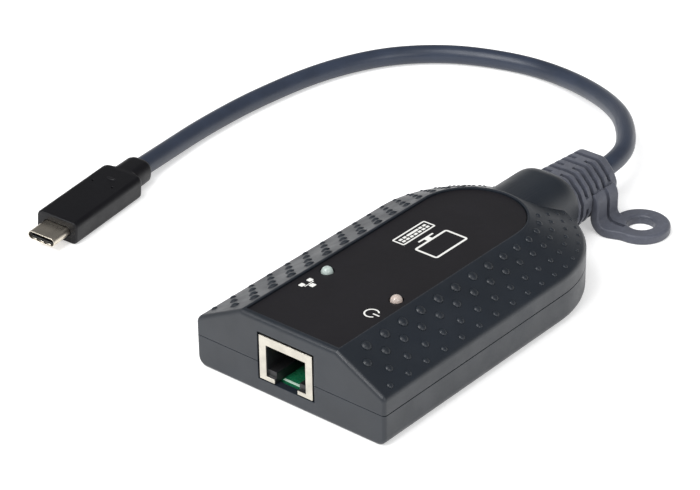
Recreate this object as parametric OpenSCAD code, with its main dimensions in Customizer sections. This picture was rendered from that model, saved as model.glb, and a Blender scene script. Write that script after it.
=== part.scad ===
// Adapter that joins a computer's USB-C port to an eight-way network jack.
// A two-part housing holds a circuit board, the jack and two indicator lamps. A short cable leaves
// the round end through a ribbed boot with a tie lug, and ends in a moulded plug.
// Lengths are in millimetres. The origin is the middle of the housing's flat underside, +Z is up,
// +Y runs from the jack to the cable end, and +X is to the right of someone who faces the jack.

/* [Housing] */
// Width across the side walls
body_w = 56.8; // [54:0.2:70]
// Length from the jack face to the back of the round end
body_len = 96.4; // [94:0.2:120]
// Height of the top face
body_h = 20.3; // [20:0.1:26]
// Height of the ridge where the upright sides meet the slopes
ridge_h = 13; // [12:0.1:16]
// Height of the joint between base and top cover
seam_h = 8.3; // [7.5:0.1:9]
// Open line that shows between the two covers
seam_gap = 0.3; // [0.1:0.1:0.5]
// Wall thickness of both covers
wall = 2; // [1.6:0.1:2.4]
// Thickness of the base's floor
floor_t = 1.6; // [1.2:0.1:2]
// Radius of the upright front corners
corner_r = 2; // [1:0.1:4]
// Radius along the bottom edge of the sides
base_r = 2; // [1:0.1:3]
// Height of the locating lip on the base
lip_h = 1.5; // [1:0.1:2.5]

/* [Top plate] */
// Width of the flat top face
panel_w = 28.8; // [28:0.2:32]
// Distance from the jack face to the plate's recess
panel_front = 1.8; // [1.2:0.1:4]
// Raised rim left between the recess and the slopes
panel_rim = 0.5; // [0.3:0.1:1]
// Depth of the recess
recess_depth = 1; // [0.7:0.1:1.2]
// Thickness of the plate
plate_t = 0.6; // [0.4:0.1:0.7]
// Groove between the plate and the recess's wall
plate_gap = 0.15; // [0.1:0.05:0.3]

/* [Grip bumps] */
// Distance between neighbouring bumps of a row
bump_pitch = 6.53; // [5:0.01:9]
// Diameter of the bumps in the row beside the top face
bump_top_d = 2.8; // [2:0.1:3.2]
// Diameter of the bumps in the row beside the ridge
bump_low_d = 1.5; // [1.2:0.1:2]
// Height of the largest bumps
bump_h = 0.4; // [0.3:0.05:0.6]
// Distance from the jack face to the first bump
bump_front = 4.4; // [4:0.1:8]

/* [Cable neck] */
// Radius of the neck's arched top
neck_r = 9; // [8.6:0.1:10]
// Height of the neck's top at its end
neck_top = 17; // [16.6:0.1:18]
// How far the neck stands out of the round end
neck_out = 4.6; // [4:0.1:8]
// Slope of the neck's back, in degrees
neck_tilt = 8.5; // [6:0.5:10]
// Wall thickness of the neck
neck_wall = 1.6; // [1.2:0.1:1.8]

/* [Housing screws] */
// Thread diameter
screw_d = 3; // [2.5:0.1:3.2]
// Length under the head
screw_len = 8; // [6:0.5:9]
// Head diameter
screw_head_d = 5; // [4.6:0.1:5.2]
// Head height
screw_head_h = 1.8; // [1.4:0.1:2.2]
// Diameter of the posts that the screws join
post_d = 6; // [5.6:0.1:6.2]
// Height of the screw head's seat
screw_seat = 3; // [2.6:0.1:3.4]
// Height at which base posts and cover posts meet
post_meet = 6; // [5.5:0.1:6.5]
// Front screws, inwards from the side wall's outer face
screw_side = 6.1; // [5.5:0.1:6.3]
// Front screws, back from the jack face
screw_front = 8.2; // [6:0.1:12]
// Rear screws, sideways from the middle
screw_rear_x = 14; // [13.6:0.1:14.6]
// Rear screws, forwards from the back of the round end
screw_rear = 10.7; // [10.4:0.1:11]

/* [Board] */
// Clearance of the board beside the front screws' posts
board_side_gap = 0.2; // [0.1:0.1:0.7]
// Thickness of the circuit board
board_t = 1.6; // [1:0.1:2]
// Height of the board's underside
board_z = 2.5; // [2.2:0.1:3.5]
// Board's front edge, back from the jack face
board_front = 2.8; // [2.4:0.1:4]
// Board's rear edge, forwards from the back of the round end
board_rear = 15; // [14.8:0.1:17]
// Thread diameter of the two board screws
board_screw_d = 2; // [1.6:0.1:2.5]
// Length of the board screws under the head
board_screw_len = 3.3; // [3:0.1:3.6]

/* [Jack] */
// Width of the jack's metal face
jack_w = 16; // [15.4:0.1:16.6]
// Height of the jack's metal face
jack_h = 11.85; // [11.4:0.05:12]
// Length of the jack
jack_len = 20; // [18:0.5:22]
// Sideways place of the jack
jack_x = -0.8; // [-3:0.1:3]
// Gap between the jack and its cut-out in the covers
jack_gap = 0.5; // [0.3:0.1:0.8]
// Thickness of the jack's sheet metal
sheet_t = 0.3; // [0.2:0.05:0.4]
// Width of the jack's mouth
mouth_w = 11.9; // [11.7:0.05:12.2]
// Height of the jack's mouth
mouth_h = 8.4; // [8:0.1:8.6]
// Metal left above the mouth
mouth_margin = 2.35; // [2:0.05:2.4]
// Depth of the space for the network plug
mouth_depth = 13; // [11.5:0.5:14]
// Width of the latch notch below the mouth
latch_w = 6.9; // [6.3:0.1:7.2]
// Height of the shoulders that carry the network plug, above the board
shoulder_h = 2.7; // [2.4:0.1:3]
// How far the shoulders stand back from the jack's face
shoulder_back = 0.8; // [0.6:0.1:1.5]
// Length of a spring contact
contact_len = 7.6; // [6.5:0.1:8.5]
// Root of the contacts, back from the jack face
contact_back = 2.5; // [2:0.1:3]
// Pitch of the spring contacts
contact_pitch = 1.02; // [0.9:0.02:1.27]
// Droop of a free contact, in degrees
contact_droop = 24; // [18:1:28]

/* [Indicator lamps] */
// Diameter of a lamp
lamp_d = 3; // [2.5:0.1:3.4]
// Lamps, in from the edges of the flat top
lamp_inset = 3.95; // [3.5:0.05:4.5]
// Lamps, back from the jack face
lamp_back = 26.5; // [26:0.5:30]
// How far a lamp's dome stands above the top plate
lamp_proud = 0.8; // [0.1:0.1:1.2]
// Clearance round a lamp in its hole
lamp_gap = 0.3; // [0.2:0.1:0.4]

/* [Cable boot] */
// Length of the boot outside the neck
boot_len = 19; // [18:0.5:24]
// Width at the neck
boot_root_w = 17.6; // [16.8:0.1:18]
// Height at the neck
boot_root_h = 16; // [15:0.1:16.2]
// Width at the cable end
boot_end_w = 15.6; // [14:0.1:16]
// Height at the cable end
boot_end_h = 13.8; // [12:0.1:14.4]
// First groove, back from the neck
groove_first = 2.3; // [2:0.1:3]
// Pitch of the grooves
groove_pitch = 2.65; // [2.4:0.05:2.8]
// Width of a groove
groove_w = 1.2; // [0.9:0.1:1.4]
// Depth of a groove
groove_depth = 1.3; // [0.8:0.1:1.6]
// Width of the bridges that interrupt the grooves
bridge_w = 2.6; // [2:0.1:3.4]
// Diameter of the boot's throat in the neck's end wall
throat_d = 10; // [9:0.1:10.4]
// Diameter of the boot's flange behind the end wall
flange_d = 12.2; // [11.6:0.1:12.4]
// Thickness of that flange
flange_t = 2.5; // [2:0.1:3]

/* [Tie lug] */
// Diameter of the hole for a tie or a screw
lug_hole_d = 7; // [6:0.1:8]
// Width of the ring's wall
lug_ring_w = 3.9; // [3:0.1:5]
// Thickness of the lug
lug_t = 2.6; // [2:0.1:3.4]
// Sideways place of the hole
lug_x = 17.1; // [16.5:0.1:20]
// Hole, forwards from the boot's cable end
lug_back = 2.8; // [2:0.1:4]
// Width of the strap that runs up the boot's side
strap_w = 9.7; // [9:0.1:10.5]
// Outer face of the strap, from the middle
strap_x = 10.4; // [10:0.1:11]
// Thickness of the strap
strap_t = 2.8; // [2.4:0.1:3.2]
// Height of the strap
strap_h = 9.5; // [8:0.1:10]
// Radius of the strap's outer bend
strap_r = 3; // [2:0.1:3.5]

/* [Cable] */
// Diameter of the cable
cable_d = 5.25; // [4.5:0.05:6]
// Height of the cable where it leaves the boot
cable_z = 9.2; // [9:0.1:9.4]

/* [Plug] */
// Sideways place of the plug's front face
plug_x = -96.2; // [-110:0.1:-90]
// Lengthways place of the plug's front face
plug_y = -27; // [-40:0.1:-20]
// Turn of the plug, in degrees
plug_yaw = 8.4; // [0:0.1:12]
// Lean of the plug where the cable twists it, in degrees
plug_roll = 4.8; // [0:0.1:6]
// Width of the plug's moulded body
plug_w = 12.5; // [11.5:0.1:14]
// Thickness of the plug's moulded body
plug_t = 6.4; // [6:0.1:8]
// Length of the plug's moulded body
plug_len = 29.1; // [26:0.1:34]
// Radius of the moulded body's long edges
plug_r = 1.5; // [0.8:0.1:2.4]
// Length of the collar between the body and the cable
collar_len = 7.9; // [6:0.1:12]
// Width of the collar
collar_w = 7.8; // [7:0.1:9]
// Thickness of the collar
collar_t = 6.2; // [5.8:0.1:6.4]
// Width of the metal shell
shell_w = 8.25; // [8:0.01:8.4]
// Thickness of the metal shell
shell_h = 2.4; // [2.3:0.01:2.6]
// Length of the shell in front of the moulded body
shell_out = 6.65; // [6:0.05:7]
// Wall thickness of the shell
shell_wall = 0.25; // [0.15:0.05:0.3]

/* [Hidden] */
$fn = 96;

// One overrun for every cut, and the clearance of pieces that slip into each other
cut = 1;
slip = 0.1;

// Housing
half_w = body_w / 2;
front_y = -body_len / 2;
back_y = body_len / 2;
round_y = back_y - half_w;
slope_rate = (body_h - ridge_h) / (half_w - panel_w / 2);
slope_run = sqrt(1 + slope_rate * slope_rate);
slope_angle = atan(slope_rate);

// Top plate
recess_half = panel_w / 2 - panel_rim;
recess_z = body_h - recess_depth;

// Bumps: each row's place down the slope and along the housing, and its size. Behind the even
// stretch each step is shorter than the one before it by the fade, down to the shortest step.
bump_place_shares = [0.175, 0.396, 0.642, 0.861];
bump_offset_shares = [0.53, 0, 0.53, 0];
bump_size_shares = [1, 0.68, 0.35, 0];
bump_neck_gap = 1.2;
bump_even_share = 0.487;
bump_even = (bump_even_share * body_len - bump_front) / bump_pitch;
bump_fade = bump_pitch * 0.061;
bump_least = bump_pitch * 0.58;
bump_most = floor(body_len / bump_least);

// Neck
neck_end = back_y + neck_out;
neck_axis_z = neck_top - neck_r / cos(neck_tilt);
neck_reach = neck_out + half_w / 2;
neck_base_r = neck_r / 3;
passage_r = neck_r - neck_wall;

// Screws: [x, y] of each
screw_front_x = half_w - screw_side;
well_post_d = screw_head_d + 2 * slip + wall;
pilot_h = screw_seat + screw_len - post_meet + slip;
screw_places = [
    [-screw_front_x, front_y + screw_front],
    [screw_front_x, front_y + screw_front],
    [-screw_rear_x, back_y - screw_rear],
    [screw_rear_x, back_y - screw_rear]
];

// Board
board_w = 2 * (screw_front_x - well_post_d / 2 - board_side_gap);
board_y = front_y + board_front;
board_len = back_y - board_rear - board_y;
board_top = board_z + board_t;
board_screw_head_h = board_screw_d * 0.65;
board_screw_head_d = board_screw_d * 1.8;
board_post_d = board_screw_d * 2.4;
board_screw_shares = [[-0.4, 0.62], [0.4, 0.93]];
board_rest_shares = [[-0.42, 0.06], [0.42, 0.06], [-0.42, 0.36], [0.42, 0.36]];
board_screw_places = [for (s = board_screw_shares) [s[0] * board_w, board_y + s[1] * board_len]];
board_rest_places = [for (s = board_rest_shares) [s[0] * board_w, board_y + s[1] * board_len]];

// Jack
jack_z = board_top;
mouth_z = jack_z + jack_h - mouth_margin - mouth_h;
mouth_top = mouth_z + mouth_h;
insert_gap = 0.05;
contact_w = 0.45;
contact_t = 0.3;
contact_count = 8;
contact_root_y = front_y + contact_back;
contact_root_z = mouth_top - contact_t;

// Lamps
lamp_x = panel_w / 2 - lamp_inset;
lamp_y = front_y + lamp_back;
plate_top = recess_z + plate_t;
lamp_top = plate_top + lamp_proud;
lamp_body_h = lamp_d * 1.77;
lamp_flange_h = lamp_d / 3;
lamp_flange_d = lamp_d * 1.27;
lamp_base_z = lamp_top - lamp_body_h;
lamp_pin_pitch = 2.54;
lamp_pin = 0.45;
spacer_d = lamp_d * 1.4;
spacer_bore = lamp_pin_pitch + 2 * lamp_pin;

// Parts on the board: body sizes, legs on each side, and places as shares of the board
processor_w = 15;
processor_h = 1.4;
processor_legs = 12;
processor_shares = [0, 0.578];
memory_w = 8;
memory_l = 11;
memory_h = 1.1;
memory_legs = 8;
memory_gap = 1.487;
memory_shares = [-(processor_w / 2 + memory_gap + memory_w / 2) / board_w, 0.463];
network_w = 7;
network_h = 1;
network_legs = 7;
network_gap = 0.988;
network_shares = [(processor_w / 2 + network_gap + network_w / 2) / board_w, 0.438];
flash_w = 4;
flash_l = 5;
flash_h = 1.5;
flash_legs = 4;
flash_gap = 4.005;
flash_shares = [(processor_w / 2 + flash_gap + flash_w / 2) / board_w, 0.616];
transformer_l = 12.5;
transformer_h = 5.5;
transformer_gap = 0.85;
transformer_w = 2 * (lamp_x - spacer_d / 2 - transformer_gap) - transformer_h;
transformer_legs = 8;
transformer_shares = [0, 0.336];
crystal_w = 6.6;
crystal_d = 4.5;
crystal_h = 3.5;
crystal_shares = [-0.324, 0.73];
capacitor_d = 5;
capacitor_h = 5.4;
capacitor_gap = 3.986;
capacitor_x_share = (processor_w / 2 + capacitor_gap + capacitor_d / 2) / board_w;
capacitor_shares = [[capacitor_x_share, 0.718], [capacitor_x_share, 0.794], [-capacitor_x_share, 0.832]];
inductor_w = 6.2;
inductor_h = 3;
inductor_shares = [0.108, 0.768];
passive_count = 6;
passive_w = 0.8;
passive_gap = 1.084;
passive_x_share = (processor_w / 2 + passive_gap) / board_w;
passive_shares = [[-0.119, 0.73], [passive_x_share, 0.705], [-0.473, 0.132], [0.43, 0.132]];

// Boot: half outline from the top middle round to the bottom, as shares of half width and height
boot_outline_shares = [
    [0, 1], [0.47, 1], [0.84, 0.56], [1, 0.16], [0.97, -0.32], [0.8, -0.7], [0.5, -0.96], [0.3, -1], [0, -1]
];
boot_edge_r = boot_root_h / 10;
groove_count = 6;
boot_end = neck_end + boot_len;
flange_front = neck_end - neck_wall - flange_t;
tail_front = flange_front - flange_t * 2;
crimp_t = 0.6;

// Lug
lug_y = boot_end - lug_back;
lug_ring_r = lug_hole_d / 2 + lug_ring_w;
strap_back = boot_end - lug_back / 2;
strap_in = strap_x - strap_t;
strap_fillet = lug_t * 0.6;
strap_join_z = strap_h * 0.7;
strap_slot = 4;
strap_slot_end = lug_x - lug_hole_d / 2;

// Plug
plug_axis = [-sin(plug_yaw), cos(plug_yaw), 0];
plug_z = (plug_t / 2 - plug_r) * cos(plug_roll) + (plug_w / 2 - plug_r) * sin(plug_roll) + plug_r;
plug_back = plug_len + collar_len;
shell_in = 3;
insert_back = 0.8;
tongue_w = 6.7;
tongue_h = 0.85;
tongue_depth = 4.6;
pin_count = 12;
pin_pitch = 0.5;
pin_w = 0.24;
pin_t = 0.12;
spring_pitch = 2.2;
spring_w = 1.3;
card_w = 8.4;
card_t = 0.8;
card_len = 14;
mark_d = 0.7;
mark_depth = 0.6;
mark_x = plug_w / 4;
mark_share = 0.69;

// Cable: route of its middle line from the boot to the plug, whose end comes from the plug
cable_route = [
    [0, boot_end, cable_z], [0, 80, 9.2], [-2, 89, 9], [-8, 98, 8.5], [-15, 106, 7.5],
    [-24, 113, 6], [-34, 118.5, 4.5], [-45, 122.5, 3.2], [-57, 123.5, 2.7], [-68, 121, 2.7],
    [-79, 116.5, 2.7], [-88, 109.5, 2.7], [-95, 101, 2.7], [-100, 90, 2.7], [-103, 79, 2.7],
    [-104.5, 68, 2.7], [-105.5, 56, 2.7], [-105.5, 44, 2.7], [-105, 33, 2.7], [-103.5, 22, 3],
    [plug_x, plug_y, plug_z] + plug_back * plug_axis
];
cable_sides = 12;

// Header and its wires
header_w = 11;
header_d = 5;
header_h = 5;
header_y = board_y + board_len - header_d * 2;
header_skin = 0.8;
header_plug_d = 6;
wire_d = 1;
wire_count = 5;
wire_sides = 8;

// Colours, as the photo shows them
housing_black = [0.13, 0.13, 0.14];
plate_black = [0.17, 0.17, 0.18];
boot_grey = [0.33, 0.34, 0.38];
cable_blue = [0.22, 0.25, 0.31];
plug_black = [0.11, 0.11, 0.12];
bright_metal = [0.85, 0.84, 0.8];
steel = [0.62, 0.62, 0.62];
gold = [0.83, 0.68, 0.35];
wire_colours = ["firebrick", "seagreen", "white", "dimgray", "goldenrod"];
board_green = [0.05, 0.3, 0.2];
chip_black = [0.09, 0.09, 0.1];
white_plastic = [0.86, 0.85, 0.8];
clear_lamp = [0.85, 0.9, 0.85];

// A half section drawn in x and z, carried along the straight part and round the end.
module housing_run(front_inset = 0) {
    translate([0, round_y, 0]) {
        rotate([90, 0, 0])
            linear_extrude(round_y - front_y - front_inset) {
                children();
                mirror([1, 0])
                    children();
            }
        rotate_extrude(angle = 180)
            children();
    }
}

// Half section of the top cover, moved in from its outer faces by inset.
module cover_section(inset, low) {
    polygon([
        [0, low],
        [half_w - inset, low],
        [half_w - inset, ridge_h - inset * (slope_run - slope_rate)],
        [half_w - (body_h - ridge_h + inset * (slope_run - 1)) / slope_rate, body_h - inset],
        [0, body_h - inset]
    ]);
}

// Square corner with its lower outer edge rounded.
module rounded_section(w, h, r) {
    square([w - r, h]);
    translate([0, r])
        square([w, h - r]);
    translate([w - r, r])
        circle(r);
}

// Upright prism with the housing's rounded front corners.
module corner_prism() {
    straight = body_len + neck_out + cut;
    translate([0, front_y, -cut])
        linear_extrude(body_h + 2 * cut) {
            translate([-half_w, corner_r])
                square([body_w, straight]);
            translate([corner_r - half_w, 0])
                square([body_w - 2 * corner_r, corner_r + cut]);
            for (side = [-1, 1])
                translate([side * (half_w - corner_r), corner_r])
                    circle(corner_r);
        }
}

// Cut-out for the jack through the front wall of both covers.
module jack_cutout() {
    translate([jack_x - jack_w / 2 - jack_gap, front_y - cut, jack_z - jack_gap / 2])
        cube([jack_w + 2 * jack_gap, wall + 2 * cut, jack_h + jack_gap / 2 + jack_gap]);
}

// Tilted round bar that the neck's arch and its passage are cut from.
module neck_bar(r, stop) {
    intersection() {
        translate([0, neck_end, neck_axis_z])
            rotate([90 - neck_tilt, 0, 0])
                translate([0, 0, -neck_r])
                    cylinder(h = neck_reach + 2 * neck_r, r = r);
        translate([-neck_r - cut, neck_end - neck_reach, seam_h])
            cube([2 * (neck_r + cut), neck_reach - stop, body_h]);
    }
}

// Opening that the boot's throat passes: round above, and straight down to the joint.
module throat_cut() {
    r = throat_d / 2 + slip;
    translate([0, neck_end + cut, cable_z])
        rotate([90, 0, 0])
            cylinder(h = neck_wall + 2 * cut, r = r);
    translate([-r, neck_end - neck_wall - cut, seam_h - cut])
        cube([2 * r, neck_wall + 2 * cut, cable_z - seam_h + cut]);
}

function row_size(row) = bump_low_d + (bump_top_d - bump_low_d) * bump_size_shares[row];
function row_height(row) = bump_h * row_size(row) / bump_top_d;
function row_x(row) = panel_w / 2 + (half_w - panel_w / 2) * bump_place_shares[row];
function row_z(row) = body_h - (body_h - ridge_h) * bump_place_shares[row];
function row_first(row) = front_y + bump_front + bump_pitch * bump_offset_shares[row];
function cap_radius(d, h) = (d * d / 4 + h * h) / (2 * h);
function bump_step(row, n) =
    max(bump_least, bump_pitch - bump_fade * max(0, n + bump_offset_shares[row] - bump_even));
function bump_travel(row, n) = n == 0 ? 0 : bump_travel(row, n - 1) + bump_step(row, n);

// One grip bump: a round cap that stands above the slope, with its flat back inside the wall.
module bump(row, share) {
    d = share * row_size(row);
    h = share * row_height(row);
    r = cap_radius(d, h);
    translate([row_x(row), 0, row_z(row)])
        rotate([0, slope_angle, 0])
            translate([0, 0, h - r])
                rotate_extrude()
                    intersection() {
                        circle(r);
                        translate([0, r - 2 * h])
                            square([d, 2 * h]);
                    }
}

// Bumps in four rows down each slope and round the end as far as the neck.
module grip_bumps() {
    for (row = [0 : len(bump_place_shares) - 1], n = [0 : bump_most], side = [0, 1]) {
        along = row_first(row) + bump_travel(row, n) - round_y;
        angle = max(0, along) / row_x(row) * 180 / PI;
        if (angle < acos((neck_r + bump_neck_gap) / row_x(row)))
            mirror([side, 0, 0])
                translate([0, round_y + min(0, along), 0])
                    rotate([0, 0, angle])
                        bump(row, bump_step(row, n) / bump_pitch);
    }
}

module top_cover() {
    low = seam_h + seam_gap;
    color(housing_black) {
        difference() {
            union() {
                intersection() {
                    union() {
                        housing_run()
                            cover_section(0, low);
                        grip_bumps();
                    }
                    corner_prism();
                }
                intersection() {
                    neck_bar(neck_r, 0);
                    translate([-half_w, front_y, low])
                        cube([body_w, body_len + neck_out, body_h]);
                }
            }
            housing_run(wall)
                cover_section(wall, seam_h - cut);
            housing_run(wall / 2)
                square([half_w - wall / 2, seam_h + lip_h]);
            neck_bar(passage_r, neck_wall);
            housing_run(panel_front)
                translate([0, recess_z])
                    square([recess_half, recess_depth + cut]);
            throat_cut();
            jack_cutout();
            lamp_holes();
        }
        difference() {
            intersection() {
                for (p = screw_places)
                    translate([p[0], p[1], post_meet])
                        cylinder(h = body_h, d = post_d);
                housing_run(wall / 2)
                    cover_section(wall / 2, 0);
            }
            for (p = screw_places)
                translate([p[0], p[1], post_meet - cut])
                    cylinder(h = pilot_h + cut, r = screw_d / 2 + slip / 2);
        }
    }
}

module lamp_holes() {
    for (side = [-1, 1])
        translate([side * lamp_x, lamp_y, body_h - wall - cut])
            cylinder(h = wall + 2 * cut, r = lamp_d / 2 + lamp_gap);
}

module top_plate() {
    color(plate_black)
        difference() {
            housing_run(panel_front + plate_gap)
                translate([0, recess_z])
                    square([recess_half - plate_gap, plate_t]);
            lamp_holes();
        }
}

// The base's own piece of the neck, below the joint.
module base_neck() {
    translate([0, neck_end, 0])
        rotate([90, 0, 0])
            linear_extrude(neck_reach)
                for (side = [0, 1])
                    mirror([side, 0])
                        rounded_section(neck_r, seam_h, neck_base_r);
}

module base_cover() {
    color(housing_black) {
        difference() {
            union() {
                intersection() {
                    housing_run()
                        rounded_section(half_w, seam_h, base_r);
                    corner_prism();
                }
                base_neck();
                base_lip();
            }
            housing_run(wall)
                translate([0, floor_t])
                    square([half_w - wall, body_h]);
            board_screw_holes();
            translate([-passage_r, back_y - half_w / 2, floor_t])
                cube([2 * passage_r, half_w / 2 + neck_out - neck_wall, body_h]);
            translate([0, neck_end + cut, cable_z])
                rotate([90, 0, 0])
                    cylinder(h = neck_wall + 2 * cut, r = throat_d / 2 + slip);
            jack_cutout();
            screw_wells();
        }
        difference() {
            for (p = screw_places)
                translate([p[0], p[1], floor_t / 2])
                    cylinder(h = post_meet - floor_t / 2, d = well_post_d);
            screw_wells();
        }
        difference() {
            board_posts();
            board_screw_holes();
        }
    }
}

// Blind holes for the board's screws, down through their posts into the floor.
module board_screw_holes() {
    for (p = board_screw_places)
        translate([p[0], p[1], board_top - board_screw_len - slip])
            cylinder(h = board_screw_len, r = board_screw_d / 2 + slip / 2);
}

// Lip on the base that locates the top cover.
module base_lip() {
    difference() {
        intersection() {
            housing_run(wall / 2 + slip)
                square([half_w - wall / 2 - slip, seam_h + lip_h]);
            corner_prism();
        }
        translate([-half_w, front_y, -cut])
            cube([body_w, body_len, seam_h - wall + cut]);
    }
}

// Wells for the screw heads, open at the underside, and the holes above them.
module screw_wells() {
    for (p = screw_places)
        translate([p[0], p[1], -cut]) {
            cylinder(h = screw_seat + cut, r = screw_head_d / 2 + slip);
            cylinder(h = post_meet + 2 * cut, r = screw_d / 2 + slip);
        }
}

// Posts that carry the board, two of them under its screws.
module board_posts() {
    for (p = concat(board_rest_places, board_screw_places))
        translate([p[0], p[1], floor_t / 2])
            cylinder(h = board_z - floor_t / 2, d = board_post_d);
}

// A pan-head screw, head down, its head's seat at z = 0.
module screw(d, len, head_d, head_h) {
    difference() {
        union() {
            translate([0, 0, -head_h])
                cylinder(h = head_h, d = head_d);
            cylinder(h = len - d / 2, d = d);
            translate([0, 0, len - d / 2])
                cylinder(h = d / 2, d1 = d, d2 = d / 3);
        }
        for (turn = [0, 90])
            translate([0, 0, -head_h])
                rotate([0, 0, turn])
                    cube([head_d * 0.6, head_h / 4, head_h], center = true);
    }
}

module housing_screws() {
    color(steel)
        for (p = screw_places)
            translate([p[0], p[1], screw_seat])
                screw(screw_d, screw_len, screw_head_d, screw_head_h);
}

module main_board() {
    color(board_green)
        difference() {
            translate([-board_w / 2, board_y, board_z])
                cube([board_w, board_len, board_t]);
            for (p = board_screw_places)
                translate([p[0], p[1], board_z - cut])
                    cylinder(h = board_t + 2 * cut, r = board_screw_d / 2 + slip);
            for (side = [-1, 1], pin = [-1, 1])
                translate([side * lamp_x + pin * lamp_pin_pitch / 2, lamp_y, board_z - cut])
                    cylinder(h = board_t + 2 * cut, d = lamp_pin * 1.6);
        }
}

module board_screws() {
    color(steel)
        for (p = board_screw_places)
            translate([p[0], p[1], board_top])
                mirror([0, 0, 1])
                    screw(board_screw_d, board_screw_len, board_screw_head_d, board_screw_head_h);
}

// The jack's folded sheet: a face with the mouth, a top, two sides and a back.
module jack_shield() {
    color(bright_metal)
        translate([jack_x, front_y, jack_z])
            difference() {
                translate([-jack_w / 2, 0, 0])
                    cube([jack_w, jack_len, jack_h]);
                translate([sheet_t - jack_w / 2, sheet_t, -cut])
                    cube([jack_w - 2 * sheet_t, jack_len - 2 * sheet_t, jack_h - sheet_t + cut]);
                translate([-mouth_w / 2, -cut, mouth_z - jack_z])
                    cube([mouth_w, sheet_t + 2 * cut, mouth_h]);
                translate([-latch_w / 2, -cut, -cut])
                    cube([latch_w, sheet_t + 2 * cut, mouth_z - jack_z + 2 * cut]);
            }
}

// The jack's moulded body, with the space for the plug and an open latch channel below it.
module jack_housing() {
    side = sheet_t + insert_gap;
    space = jack_len - 2 * side;
    color(chip_black)
        translate([jack_x, front_y + side, jack_z])
            difference() {
                translate([side - jack_w / 2, 0, 0])
                    cube([jack_w - 2 * side, space, jack_h - side]);
                translate([-mouth_w / 2, -cut, shoulder_h])
                    cube([mouth_w, mouth_depth - side + cut, mouth_top - jack_z - shoulder_h]);
                translate([-latch_w / 2, -cut, -cut])
                    cube([latch_w, mouth_depth - side + cut, shoulder_h + 2 * cut]);
                translate([-mouth_w / 2, -cut, mouth_z - jack_z])
                    cube([mouth_w, shoulder_back - side + cut, mouth_h]);
            }
}

function contact_x(i) = jack_x + (i - (contact_count - 1) / 2) * contact_pitch;

// Eight spring contacts that slope down into the mouth from their root at its top.
module jack_contacts() {
    color(gold)
        for (i = [0 : contact_count - 1])
            translate([contact_x(i), contact_root_y, contact_root_z])
                rotate([-contact_droop, 0, 0])
                    translate([-contact_w / 2, 0, -contact_t])
                        cube([contact_w, contact_len, contact_t]);
}

// A chip with legs on two or four sides, its middle on the board at the origin.
module chip(w, d, h, legs, sides) {
    leg_out = h / 2;
    lift = h / 8;
    leg_w = w / (2 * legs + 2);
    translate([-w / 2, -d / 2, lift])
        cube([w, d, h - lift]);
    for (turn = [0 : sides - 1])
        rotate([0, 0, turn * 360 / sides])
            for (i = [0 : legs - 1])
                translate([w / 2 - leg_w, (i - (legs - 1) / 2) * d / (legs + 1) - leg_w / 2, 0])
                    cube([leg_w + leg_out, leg_w, h / 3]);
}

// Places children on the board, at shares of its width and length.
module on_board(shares) {
    translate([shares[0] * board_w, board_y + shares[1] * board_len, board_top])
        children();
}

module video_processor() {
    color(chip_black)
        on_board(processor_shares)
            chip(processor_w, processor_w, processor_h, processor_legs, 4);
}

module frame_memory() {
    color(chip_black)
        on_board(memory_shares)
            chip(memory_w, memory_l, memory_h, memory_legs, 2);
}

module network_chip() {
    color(chip_black)
        on_board(network_shares)
            chip(network_w, network_w, network_h, network_legs, 4);
}

module flash_memory() {
    color(chip_black)
        on_board(flash_shares)
            chip(flash_w, flash_l, flash_h, flash_legs, 2);
}

module line_transformer() {
    color(chip_black)
        on_board(transformer_shares)
            chip(transformer_w, transformer_l, transformer_h, transformer_legs, 2);
}

// A low metal can with round ends.
module clock_crystal() {
    color(bright_metal)
        on_board(crystal_shares) {
            translate([-crystal_w / 2, -crystal_d / 2, 0])
                cube([crystal_w, crystal_d, crystal_h]);
            for (side = [-1, 1])
                translate([side * crystal_w / 2, 0, 0])
                    cylinder(h = crystal_h, d = crystal_d);
        }
}

module supply_capacitors() {
    color(bright_metal)
        for (place = capacitor_shares)
            on_board(place) {
                cylinder(h = capacitor_h, d = capacitor_d);
                translate([-capacitor_d / 2, -capacitor_d / 2, 0])
                    cube([capacitor_d, capacitor_d, capacitor_h / 6]);
            }
}

module supply_inductor() {
    color(chip_black)
        on_board(inductor_shares) {
            translate([-inductor_w / 2, -inductor_w / 2, 0])
                cube([inductor_w, inductor_w, inductor_h / 4]);
            cylinder(h = inductor_h, d = inductor_w);
        }
}

// Columns of small resistors and capacitors beside the larger parts.
module small_passives() {
    color(white_plastic)
        for (place = passive_shares, i = [0 : passive_count - 1])
            on_board(place)
                translate([0, i * passive_w * 2, 0])
                    cube([passive_w * 2, passive_w, passive_w * 0.75]);
}

module cable_header() {
    color(white_plastic)
        translate([-header_w / 2, header_y, board_top])
            difference() {
                cube([header_w, header_d, header_h]);
                translate([header_skin, header_skin, header_skin])
                    cube([header_w - 2 * header_skin, header_d, header_h - 2 * header_skin]);
            }
}

module header_plug() {
    inside = header_w - 2 * header_skin - 2 * slip;
    color(white_plastic)
        translate([-inside / 2, header_y + header_skin, board_top + header_skin])
            cube([inside, header_plug_d, header_h - 2 * header_skin - slip]);
}

function unit(v) = v / norm(v);
function ring_axis(path, i, first, last) =
    i == 0 ? first : i == len(path) - 1 ? last : unit(path[i + 1] - path[i - 1]);
function ring_points(centre, axis, r, sides) =
    let (across = unit(cross(axis, [0, 0, 1])), up = cross(across, axis))
    [for (k = [0 : sides - 1])
        centre + r * (cos(360 * k / sides) * across + sin(360 * k / sides) * up)];

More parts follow.
